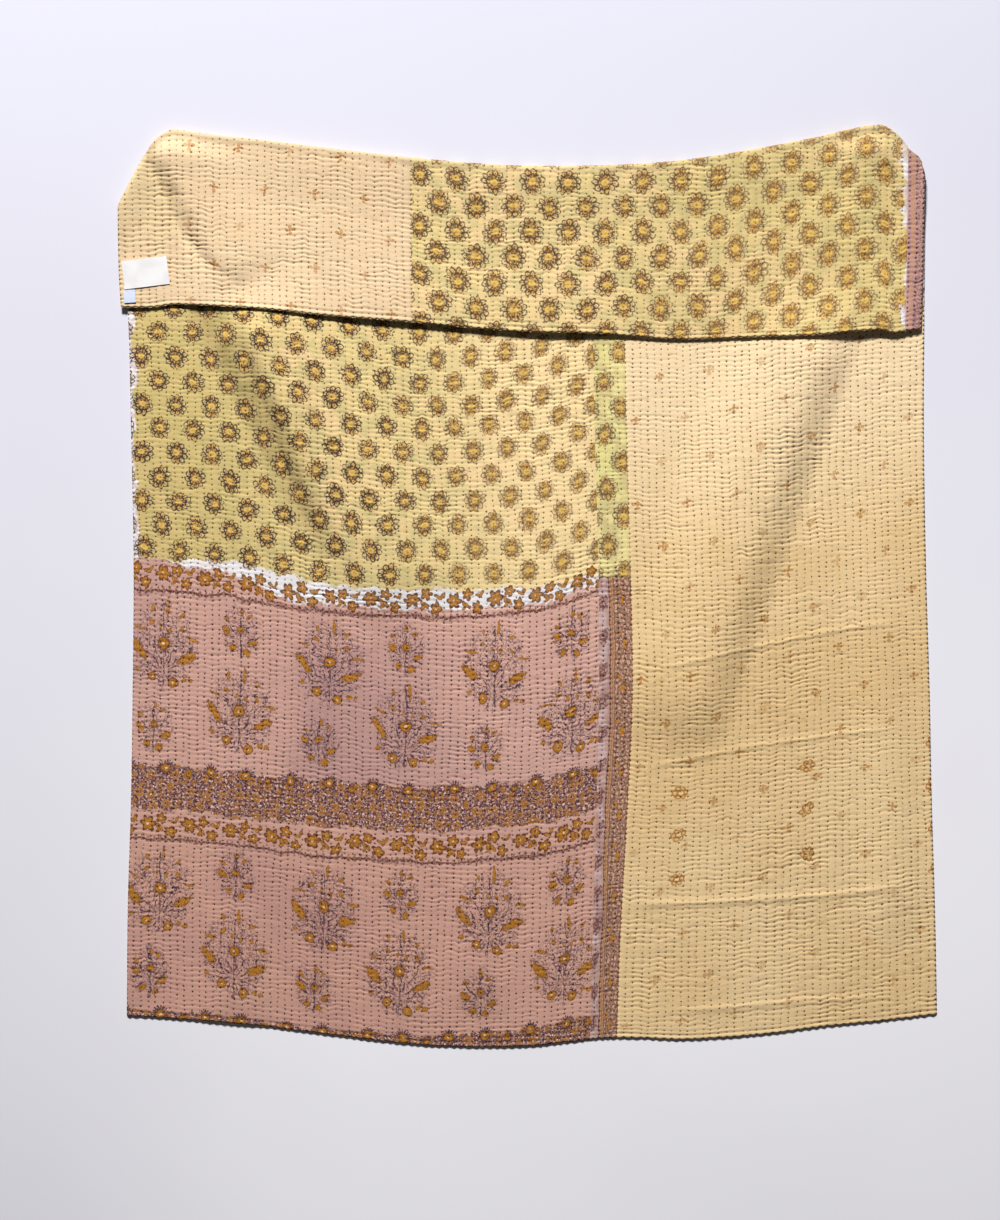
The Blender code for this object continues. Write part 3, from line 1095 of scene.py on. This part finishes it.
LARGE_LEAVES = (
    (0.007, 0.067, 0.0028, 0.0150),
    (-0.049, -0.009, 0.0215, 0.0076, -50),
    (0.043, -0.025, 0.0195, 0.0072, 26),
    (-0.047, 0.026, 0.0125, 0.0028, -15),
    (0.055, 0.009, 0.0125, 0.0028, -8),
    (-0.023, 0.062, 0.0032, 0.0056, 12),
    (0.032, 0.051, 0.0060, 0.0032, 35),
    (-0.024, 0.038, 0.0050, 0.0042),
    (0.032, 0.025, 0.0036, 0.0056, 20),
    (0.011, 0.024, 0.0030, 0.0046),
    (-0.005, 0.029, 0.0026, 0.0046),
    (0.038, -0.066, 0.0056, 0.0040, 20),
    (0.050, -0.068, 0.0056, 0.0040, 20),
    (-0.052, -0.044, 0.0050, 0.0040, -20),
)
SMALL_BOUQUET = (
    (0.0, 0.0, 0.0068, 0.0068),
    (-0.026, -0.003, 0.0092, 0.0060, -40),
    (0.022, -0.020, 0.0096, 0.0052, 25),
    (0.002, 0.034, 0.0034, 0.0060),
    (-0.014, -0.034, 0.0064, 0.0064),
    (0.010, -0.041, 0.0064, 0.0064),
    (-0.026, 0.018, 0.0056, 0.0038, -20),
    (0.016, 0.026, 0.0054, 0.0034, 30),
)
SUNS = (
    (0.0, 0.0, 0.0088, 0.0085),
    (0.086, 0.0, 0.0084, 0.0080),
    (0.043, -0.006, 0.0056, 0.0056),
)
SUN_HEARTS = (
    (0.0, 0.0, 0.0026, 0.0024),
    (0.086, 0.0, 0.0026, 0.0024),
)
# Round ones with petals: x, y, radius, petals
GARLAND_FLOWERS = ((0.0, 0.0, 0.0150, 6), (0.0265, 0.0098, 0.0112, 5), (0.0447, -0.0141, 0.0112, 5))
SUN_RAYS = ((0.0, 0.0, 0.0170, 19), (0.086, 0.0, 0.0160, 17), (0.043, -0.006, 0.0110, 13))

# Stems of a bouquet: y of its middle, half width, half height, y of its foot, number of stems
LARGE_STEMS = (-0.004, 0.062, 0.078, -0.047, 7.0)
SMALL_STEMS = (-0.003, 0.036, 0.047, -0.020, 5.0)


def plant_ink(finish, cloth, place, middle, half_width, half_height, base, stems):
    """Fine dark stems that fan out from a plant's foot, the buds along them and the flecks between."""
    spread = finish.blot(place, 0.0, middle, half_width, half_height)
    spread = spread + finish.noise(cloth, 70.0, 2.0) * 0.6 - 0.30
    x, y = place.split()
    y = y - base
    bend = finish.noise(cloth, 45.0, 1.0) * 0.6
    stem = ((y.math("ARCTAN2", x) + bend) * stems).math("SINE").math("ABSOLUTE")
    reach = finish.point(x, y).length()
    lines = (stem * reach / stems).step(0.0017, 0.0009) * reach.step(0.004, 0.018)
    main = (x + bend * 0.006).ridge(0.002, 0.0014, 0.0007)
    net = tendrils(finish, cloth, 120.0) * finish.noise(cloth, 60.0, 2.0).step(0.36, 0.52)
    flecks = finish.noise(cloth, 260.0, 1.0).step(0.60, 0.67) * 0.8
    worn = finish.noise(cloth, 240.0, 1.0).step(0.30, 0.44)
    return lines.most(main).most(net * 0.62).most(flecks) * worn * spread.step(1.08, 0.86)


def pink_places(finish, cloth):
    """Where each point is in the pink print, with the roughness of block printing."""
    rough = cloth.shifted(finish.swirl(cloth, 170.0), 0.0030)
    rough = rough.shifted(finish.swirl(cloth, 14.0), 0.006)
    east, north = rough.split()
    from_line = (north - SCALLOPS).wrapped(-BLOCK / 2, BLOCK / 2)
    return rough, east, north, from_line


def gold_print(finish, cloth, colour, gold, lined_from, soft, hard):
    """Prints gold shapes, given by the distance from their middles, with bronze edges and flecks."""
    lined = finish.noise(cloth, 400.0, 1.0).step(0.50, 0.60) * 0.6
    ink = finish.mix(GOLD, BRONZE, gold.step(*lined_from).most(lined))
    return finish.mix(colour, ink, gold.step(soft, hard) * 0.95)


def garland_print(finish, colour, cloth, east, north, from_line, worn):
    """A row of gold flowers and sprigs over a scalloped line."""
    start = north.step(0.70, 0.71) * GARLAND_SHIFT + GARLAND_START
    along_row = (east - start).wrapped(-GARLAND_LEAD, GARLAND - GARLAND_LEAD)
    place = finish.point(along_row, from_line - GARLAND_UP)
    beat = finish.point(east.wrapped(-BEAT, BEAT), from_line)
    beads = finish.blot(beat, 0.0, 0.0010, 0.0026, 0.0014)
    line = from_line.ridge(0.0002, 0.0032, 0.0014)
    scallop = (finish.blots(beat, LOOPS).step(1.2, 0.7) * 0.75).most(line)
    colour = finish.mix(colour, PLUM, scallop * (worn.step(0.36, 0.52) * 0.6 + 0.4))
    colour = finish.mix(colour, GOLD, beads.step(1.1, 0.6) * 0.6)
    gold = finish.flowers(place, GARLAND_FLOWERS).least(finish.blots(place, GARLAND_LEAVES))
    colour = gold_print(finish, cloth, colour, gold, (0.62, 0.90), 1.12, 0.98)
    return finish.mix(colour, FLOWER_HEART, finish.blots(place, GARLAND_HEARTS).step(1.15, 0.70))


def bouquet_places(finish, east, down):
    """Where each point is from the middles of the large and small bouquets, in alternate columns."""
    columns = (east - FIRST_BOUQUET) / (BOUQUETS / 2) + 0.5
    column = columns.math("FLOOR")
    odd = column.math("FLOORED_MODULO", 2.0)
    x = (columns - column - 0.5) * (BOUQUETS / 2) + odd * ODD_ASIDE
    large = finish.point(x, finish.blend(*LARGE_DOWN, odd) - down)
    small = finish.point(x + finish.blend(SMALL_ASIDE, 0.0, odd), finish.blend(*SMALL_DOWN, odd) - down)
    return large, small


def bouquet_ink(finish, cloth, large, small, worn):
    """The dark stems of both bouquets, and the rings of rays round their middle flowers."""
    dark = plant_ink(finish, cloth, large, *LARGE_STEMS)
    dark = dark.most(plant_ink(finish, cloth, small, *SMALL_STEMS))
    ringed = finish.flower(large, 0.0, 0.0, 0.0170, 17).least(finish.flower(small, 0.0, 0.0, 0.0125, 13))
    return dark.most(ringed.step(1.02, 0.90) * worn.step(0.40, 0.52) * 0.85)


def dense_band(finish, colour, cloth, rough, inside, rays, night, worn):
    """Daisies with dark rays among small gold leaves, close together, under a row of suns."""
    east_off, north_off, daisy = daisies(finish, rough, BAND_DAISIES)
    petals = daisy.step(0.27, 0.23) * daisy.step(0.075, 0.105)
    spikes = (north_off.math("ARCTAN2", east_off) * 7.5).math("SINE").step(-0.10, 0.40)
    spikes = spikes * daisy.step(0.24, 0.28) * daisy.step(0.48, 0.38)
    rims = daisy.step(0.115, 0.09) * daisy.step(0.04, 0.065)
    speckle = finish.noise(cloth, 185.0, 2.0, 0.6).step(0.50, 0.56)
    net = tendrils(finish, cloth, 105.0).most(speckle)
    leaf_east, leaf_north, _ = daisies(finish, rough, BAND_LEAVES)
    lying = finish.point(leaf_east, leaf_north * 2.3).length()
    standing = finish.point(leaf_east * 2.2, leaf_north * 0.9).length()
    leaf = finish.blend(lying, standing, finish.noise(cloth, 30.0).step(0.47, 0.53)) * BAND_LEAVES
    leafy = leaf.step(0.40, 0.34) * daisy.step(0.32, 0.38)
    outlined = leaf.ridge(0.44, 0.09, 0.04) * daisy.step(0.30, 0.36)
    colour = finish.mix(colour, BAND_GOLD, leafy * inside * (worn.step(0.38, 0.50) * 0.40 + 0.60))
    ink = spikes.most(rims).most(outlined * 0.8).most(net * daisy.step(0.26, 0.34) * (1.0 - leafy))
    ink = (ink * inside).most(rays.step(1.02, 0.92)) * (worn.step(0.36, 0.50) * 0.6 + 0.4)
    colour = finish.mix(colour, finish.mix(night, PLUM, inside * 0.35), ink * 0.95)
    return finish.mix(colour, BAND_GOLD, petals * inside * (worn.step(0.38, 0.55) * 0.4 + 0.6))


def pink_print(finish, cloth, ground):
    """Pink field of bouquets between bands: gold flowers over a scalloped line, and a dense band."""
    rough, east, north, from_line = pink_places(finish, cloth)
    worn = finish.noise(cloth, 320.0, 2.0)
    down = (SCALLOPS - north).wrapped(0.0, BLOCK)
    large, small = bouquet_places(finish, east, down)
    along_row = (east - SUN_FROM).wrapped(-SUN_LEAD, SUN_REPEAT - SUN_LEAD)
    sun_place = finish.point(along_row, SUN_DOWN - down)
    ragged = finish.noise(cloth, 60.0, 2.0) * 0.016
    inside = (down + ragged).step(*BAND_TOP) * (down - ragged).step(*BAND_FOOT)
    pale = finish.noise(cloth.shifted(cloth, 0.3), 190.0, 2.0, 0.6).step(0.51, 0.59)
    night = finish.mix(INDIGO, PLUM, finish.noise(cloth, 90.0, 1.0).step(0.4, 0.6))
    colour = finish.mix(ground, BAND_ROSE, inside * 0.85)
    colour = finish.mix(colour, BAND_PALE, pale * inside * 0.85)
    colour = finish.mix(colour, night, bouquet_ink(finish, cloth, large, small, worn) * 0.90)
    rays = finish.flowers(sun_place, SUN_RAYS)
    colour = dense_band(finish, colour, cloth, rough, inside, rays, night, worn)

    # the broad leaves are cut into feathers
    fray = (finish.noise(rough, 270.0, 1.0) - 0.5) * 1.1
    leaves = finish.blots(large, LARGE_LEAVES).least(finish.blots(small, SMALL_BOUQUET)) + fray
    gold = leaves.least(finish.blots(large, LARGE_FLOWERS)).least(finish.blots(sun_place, SUNS))
    colour = gold_print(finish, cloth, colour, gold, (0.70, 1.0), 1.10, 0.94)
    hearts = finish.blots(large, LARGE_HEARTS).least(finish.blots(sun_place, SUN_HEARTS))
    colour = finish.mix(colour, FLOWER_HEART, hearts.step(1.15, 0.70))
    return garland_print(finish, colour, cloth, east, north, from_line, worn)


LEFT_FOLD_SHADE = (0.156, 1.332, 0.506)         # place of a point on the left fold's painted shade, and its lean


def front_left(name):
    """The panel that is medallions above, pink below, with a ragged bare gap between the two prints."""
    finish = Finish(name)
    cloth = finish.uv("cloth")
    east, north = cloth.split()
    over, under = finish.uv("edges").split()
    fuzz = (finish.noise(cloth, 230.0, 1.0) - 0.5) * 0.014
    above = over + (finish.noise(cloth, 26.0, 3.0, 0.65) - 0.5) * 0.026 + fuzz
    below = under + (finish.noise(cloth.shifted(cloth, 0.5), 24.0, 3.0, 0.65) - 0.5) * 0.030 + fuzz
    ground = straw_ground(finish, cloth, STRAW, PEACH)
    ground = finish.mix(ground, DEEP_STRAW, east.step(0.44, 0.05) * 0.62)
    ground = finish.mix(ground, LIGHT_PEACH, east.step(0.48, 0.80) * 0.75)
    # painted olive shade along the soft fold that runs down from the upper left
    across, along, lean = LEFT_FOLD_SHADE
    left_fold_shade = (east + (north - along) * lean).ridge(across, 0.060, 0.010) * north.step(0.88, 1.02)
    ground = finish.mix(ground, OLIVE_FOLD_SHADE, left_fold_shade * (finish.noise(cloth, 40.0, 2.0) * 0.4 + 0.25))
    ground = finish.mix(BARE_WHITE, ground, above.step(-0.0025, 0.0025))
    pink = mottled(finish, cloth, PINK, PINK_COOL, 3.2)
    pink = finish.mix(pink, PINK_PALE, east.step(0.36, 0.80) * 0.55)
    pink = finish.mix(pink, PINK_DEEP, north.step(0.46, 0.30) * 0.35)
    ground = finish.mix(ground, pink, below.step(-0.0030, 0.0030))
    worn_side = (east + finish.noise(cloth, 24.0, 3.0) * 0.036).step(0.0295, 0.0255)
    worn_side = worn_side * north.step(0.85, 0.86)
    frayed = finish.mix(BARE_WHITE, LAVENDER, finish.noise(cloth, 90.0, 2.0).step(0.42, 0.58) * 0.8)
    return finish, cloth, finish.mix(ground, frayed, worn_side)


def front_floral():
    finish, cloth, ground = front_left("front_floral_cloth")
    across, _ = cloth.split()
    _, east, north, from_line = pink_places(finish, cloth)
    worn = finish.noise(cloth, 320.0, 2.0)
    dark = 0.94 - across.step(0.42, 0.75) * 0.30
    colour = medallions(finish, cloth, ground, FRONT_MEDALLIONS, dark, MEDALLIONS_FROM)
    printed = garland_print(finish, colour, cloth, east, north, from_line, worn)
    return quilting(finish, finish.mix(colour, printed, north.step(*GARLAND_ENDS)))


def front_pink():
    finish, cloth, ground = front_left("front_pink_cloth")
    return quilting(finish, pink_print(finish, cloth, ground), PINK_HOLE_SHADE, PINK_HOLE_SHADE_SIZE)


def strip_floral():
    finish = Finish("strip_floral_cloth")
    cloth = finish.uv("cloth")
    ground = straw_ground(finish, cloth, STRIP_PALE, STRIP_GREEN)
    return quilting(finish, medallions(finish, cloth, ground, STRIP_MEDALLIONS, 0.74))


# The strip's border: half the distance between its plum blotches and between its pairs of drops
BLOTCH_BEAT, DROP_BEAT = 0.0300, 0.0395
BORDER_LINES = (0.0222, 0.0260)        # across the strip, the pale lines
PLUM_LINE = 0.0240                     # and the dark one between them
MAUVE_LINES = (0.0085, 0.0125)         # across the flap's mauve edge

# x, y, half width, half height, turn in degrees
BLOTCHES = (
    (0.004, 0.0, 0.0120, 0.0135),
    (0.013, 0.009, 0.0050, 0.0080),
)
DROPS = (
    (0.045, 0.0, 0.0040, 0.0078, -12),
    (0.0365, 0.018, 0.0030, 0.0046),
)


def border_selvedge(finish, colour, cloth, x, north, net, worn):
    """The strip's faded left side, with plum blotches."""
    faded = finish.noise(cloth, 34.0, 2.0).step(0.40, 0.60)
    faded = faded * (x + finish.noise(cloth, 60.0) * 0.020).step(0.0290, 0.0205)
    colour = finish.mix(colour, LAVENDER, faded * (worn.step(0.30, 0.55) * 0.4 + 0.4))
    beat = (north + 0.006).wrapped(-BLOTCH_BEAT, BLOTCH_BEAT)
    blotch = finish.blots(finish.point(x, beat), BLOTCHES) + (finish.noise(cloth, 120.0, 1.0) - 0.5) * 0.9
    colour = finish.mix(colour, BORDER_BLOTCH, blotch.step(1.1, 0.8) * 0.6)
    return finish.mix(colour, PLUM, blotch.step(1.1, 0.8) * net * 0.85)


def border_band(finish, colour, cloth, x, north, net, worn):
    """The close dark band on its right, with gold drops."""
    band = x.step(0.0285, 0.0300)
    speck = finish.noise(cloth, 200.0, 2.0, 0.6)
    waves = ((x * 820.0) + (north * 160.0).math("SINE") * 2.4).math("SINE")
    colour = finish.mix(colour, BORDER_BAND, band * 0.80)
    colour = finish.mix(colour, BORDER_SPECK, speck.step(0.54, 0.60) * band * 0.65)
    olive = finish.noise(cloth.shifted(cloth, 0.4), 150.0, 1.0).step(0.52, 0.58) * band
    colour = finish.mix(colour, BORDER_OLIVE, olive * 0.65)
    dark = net.most(waves.step(0.55, 0.90) * worn.step(0.40, 0.52)) * band
    colour = finish.mix(colour, BORDER_DARK, dark * 0.70)
    beat = (north + 0.012).wrapped(-DROP_BEAT, DROP_BEAT)
    drops = finish.blots(finish.point(x, beat), DROPS)
    colour = finish.mix(colour, BRONZE, drops.ridge(1.45, 0.22, 0.08) * band * 0.6)
    return finish.mix(colour, GOLD, drops.step(1.15, 0.8) * 0.95)


def strip_border():
    """The border of the pink print: a faded selvedge, two pale lines and a close dark band with drops."""
    finish = Finish("strip_border_cloth")
    cloth = finish.uv("cloth")
    east, north = cloth.shifted(finish.swirl(cloth, 160.0), 0.004).split()
    x = east - STRIP_FROM * COLUMN
    worn = finish.noise(cloth, 300.0, 2.0)
    net = tendrils(finish, cloth, 112.0).most(finish.noise(cloth, 190.0, 2.0).step(0.52, 0.58) * 0.85)
    colour = mottled(finish, cloth, BORDER_PALE, BORDER_DEEP, 9.0)
    colour = border_selvedge(finish, colour, cloth, x, north, net, worn)
    colour = border_band(finish, colour, cloth, x, north, net, worn)
    colour = finish.mix(colour, PLUM, x.ridge(PLUM_LINE, 0.0056, 0.0046) * 0.80)
    for middle in BORDER_LINES:
        line = x.ridge(middle, 0.0020, 0.0010)
        colour = finish.mix(colour, BEIGE, line * (worn.step(0.3, 0.5) * 0.3 + 0.6))
    return quilting(finish, colour, PINK_HOLE_SHADE, PINK_HOLE_SHADE_SIZE)


def turned_floral():
    finish = Finish("turned_floral_cloth")
    cloth = finish.uv("cloth")
    east, north = cloth.split()
    right_end = TURNED_SEAMS[1] * COLUMN
    ragged = finish.noise(cloth, 26.0, 3.0, 0.6)
    ground = straw_ground(finish, cloth, STRAW, PEACH)
    ground = finish.mix(ground, DEEP_STRAW, east.step(0.80, 1.20) * 0.26)
    torn = (ragged - 0.5) * 0.050 + finish.noise(cloth, 190.0, 1.0) * 0.006
    bare = (east + torn - (right_end + 0.0020) + north.step(0.08, 0.20) * 0.0100).step(-0.0015, 0.0015)
    ground = finish.mix(ground, BARE_WHITE, bare * 0.9)
    dark = 0.86 - east.step(0.85, 1.25) * 0.22
    colour = medallions(finish, cloth, ground, TURNED_MEDALLIONS, dark)
    colour = finish.mix(colour, BARE_WHITE, bare * 0.55)
    return quilting(finish, paint_fold_shade(finish, colour), TURNED_HOLE_SHADE)


def turned_mauve():
    finish = Finish("turned_mauve_cloth")
    cloth = finish.uv("cloth")
    east, _ = cloth.shifted(finish.swirl(cloth, 160.0), 0.003).split()
    x = east - TURNED_SEAMS[1] * COLUMN
    colour = mottled(finish, cloth, MAUVE_PALE, MAUVE_DEEP, 6.0)
    weave = finish.noise(cloth, 260.0, 2.0).step(0.45, 0.60)
    colour = finish.mix(colour, PLUM, weave * x.step(0.014, 0.018) * 0.6)
    for middle in MAUVE_LINES:
        colour = finish.mix(colour, BEIGE, x.ridge(middle, 0.0015, 0.0006) * 0.75)
    return quilting(finish, paint_fold_shade(finish, colour), PINK_HOLE_SHADE, PINK_HOLE_SHADE_SIZE)


# Tapes: node, pale and soiled shades
LABELS = (
    ("label", tint(236, 233, 233), tint(226, 223, 223)),
    ("care_label", tint(212, 220, 240), tint(196, 206, 230)),
)
THREADS = 5200.0          # of a label, in radians to the metre


def label_cloth(name, pale, deep):
    """Blank woven tape: a satin weave, slightly soiled."""
    finish = Finish(name)
    place = finish.node("ShaderNodeTexCoord", {}, out="Object")
    east, north = place.split()
    threads = (east * THREADS).math("SINE") * (north * THREADS).math("SINE")
    soil = finish.noise(place, 30.0, 3.0).step(0.35, 0.7)
    finish.finished(finish.mix(pale, deep, soil), threads, 0.0001)
    finish.shader.inputs["Roughness"].default_value = 0.6
    return finish.material


PAPER_NEAR, PAPER_SHADED_FAR = tint(248, 246, 251), tint(207, 206, 218)
PAPER_SHADED_LEFT, PAPER_CLOUD = tint(204, 203, 213), tint(200, 198, 208)


def studio_floor():
    """Seamless paper, with painted shade a little deeper towards the light and on the left, and a faint
    tooth.
    """
    finish = Finish("studio_floor")
    place = finish.node("ShaderNodeTexCoord", {}, out="Object")
    east, north = place.split()
    # painted shade: darker towards the lamp and on the left, which evens out the lamp's light
    colour = finish.mix(PAPER_NEAR, PAPER_SHADED_FAR, north.step(-0.9, 1.2))
    colour = finish.mix(colour, PAPER_SHADED_LEFT, east.step(-0.30, -1.05) * north.step(1.1, 0.5) * 0.40)
    cloudy = finish.noise(place, 2.0, 2.0).step(0.3, 0.7) * 0.06
    tooth = finish.noise(place, 900.0, 2.0)
    finish.finished(finish.mix(colour, PAPER_CLOUD, cloudy), tooth, 0.00004)
    finish.shader.inputs["Sheen Weight"].default_value = 0.0
    return finish.material


# ---------------------------------------------------------------- the quilt's pieces


def quilt_piece(name, columns, rows, face, print_place, material, edges=no_edges):
    """One panel of a face of the quilt, shown in place of the solid one."""
    obj = cloth_mesh(name, columns, rows, face, print_place, edges)
    obj.data.materials.append(material)
    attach(obj, "root")
    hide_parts("quilt")
    spans = (abs(columns[-1] - columns[0]) * COLUMN, abs(rows[-1] - rows[0]) * STITCH)


def front_pieces():
    rows = row_samples(BODY_ROWS, FINE)
    hidden = np.linspace(CREAM_ROWS, BODY_ROWS, 3)[1:]
    cream_rows = np.append(rows[rows <= CREAM_ROWS], hidden)
    left = column_samples(0, STRIP_FROM, FINE)
    strip = column_samples(STRIP_FROM, STRIP_TO, FINE)
    right = column_samples(STRIP_TO, COLUMNS, FINE)
    for name, columns, some_rows, place, material, edges in (
        ("front_pink", left, rows[rows <= PRINT_ROWS], front_print, front_pink(), gap_edges),
        ("front_floral", left, rows[rows >= PRINT_ROWS], front_print, front_floral(), gap_edges),
        ("strip_border", strip, rows[rows <= STRIP_ROWS], front_print, strip_border(), no_edges),
        ("strip_floral", strip, rows[rows >= STRIP_ROWS], front_print, strip_floral(), no_edges),
        ("front_cream", right, cream_rows, plain_print, front_cream(), no_edges),
    ):
        quilt_piece(name, columns, some_rows, front_face, place, material, edges)


def back_pieces():
    """The flap's three panels, which carry on plainly under the body, and the cloth inside the fold."""
    rows = row_samples(TURNED_ROWS, FINE)
    under_rows = row_samples(UNDER_ROWS, MEDIUM)
    first, second = TURNED_SEAMS
    panels = (
        ("cream", 0, first, turned_cream(), plain_print),
        ("floral", first, second, turned_floral(), turned_print),
        ("mauve", second, COLUMNS, turned_mauve(), plain_print),
    )
    for name, low, high, material, place in panels:
        columns = column_samples(low, high, FINE)
        quilt_piece("turned_" + name, columns, rows, turned_face, place, material, fold_edges)
    for name, low, high, material, _ in panels:
        columns = column_samples(low, high, MEDIUM)[::-1]
        quilt_piece("under_" + name, columns, under_rows, under_face, plain_print, material)
    columns = column_samples(0, COLUMNS, COARSE)
    inner_rows = np.arange(0.0, INNER_ROWS + 1)
    plain = bpy.data.materials["turned_floral_cloth"]
    quilt_piece("inner_face", columns, inner_rows, inner_face, plain_print, plain)


def dress_labels():
    for name, pale, deep in LABELS:
        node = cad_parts[name]
        node.data.materials.clear()
        node.data.materials.append(label_cloth(name + "_cloth", pale, deep))


# ---------------------------------------------------------------- studio

FLOOR_REACH = 8.0
CAMERA_PLACE = (-0.0517, -0.0442, 5.2)
SENSOR = 36.0
SEEN_TALL, SEEN_FROM = 2.294, 5.19     # the height that fills the frame, at this distance
KEY_PLACE = (-1.3, 7.3, 4.6)
KEY_SIZE, KEY_POWER = 1.4, 1405.0
SKY_COLOUR, SKY_STRENGTH = (0.93, 0.95, 1.0, 1), 0.05


def set_floor():
    bm = bmesh.new()
    bmesh.ops.create_grid(bm, x_segments=1, y_segments=1, size=FLOOR_REACH)
    mesh = bpy.data.meshes.new("floor")
    bm.to_mesh(mesh)
    bm.free()
    mesh.materials.append(studio_floor())
    added("floor", mesh)


def set_camera():
    camera = added("camera", bpy.data.cameras.new("camera"))
    camera.location = CAMERA_PLACE
    camera.data.sensor_width = SENSOR
    camera.data.lens = SENSOR * SEEN_FROM / SEEN_TALL
    bpy.context.scene.camera = camera


def set_lights():
    """One high lamp beyond the fold, and a faint even sky."""
    world = bpy.data.worlds.new("studio")
    world.use_nodes = True
    sky = world.node_tree.nodes["Background"]
    sky.inputs["Color"].default_value = SKY_COLOUR
    sky.inputs["Strength"].default_value = SKY_STRENGTH
    bpy.context.scene.world = world
    key = added("key", bpy.data.lights.new("key", "AREA"))
    key.data.shape = "DISK"
    key.data.size = KEY_SIZE
    key.data.energy = KEY_POWER
    key.location = KEY_PLACE
    key.rotation_euler = (-key.location).to_track_quat("-Z", "Y").to_euler()
    bpy.context.scene.view_settings.view_transform = "Standard"


def main():
    front_pieces()
    back_pieces()
    dress_labels()
    set_floor()
    set_camera()
    set_lights()
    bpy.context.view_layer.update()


main()
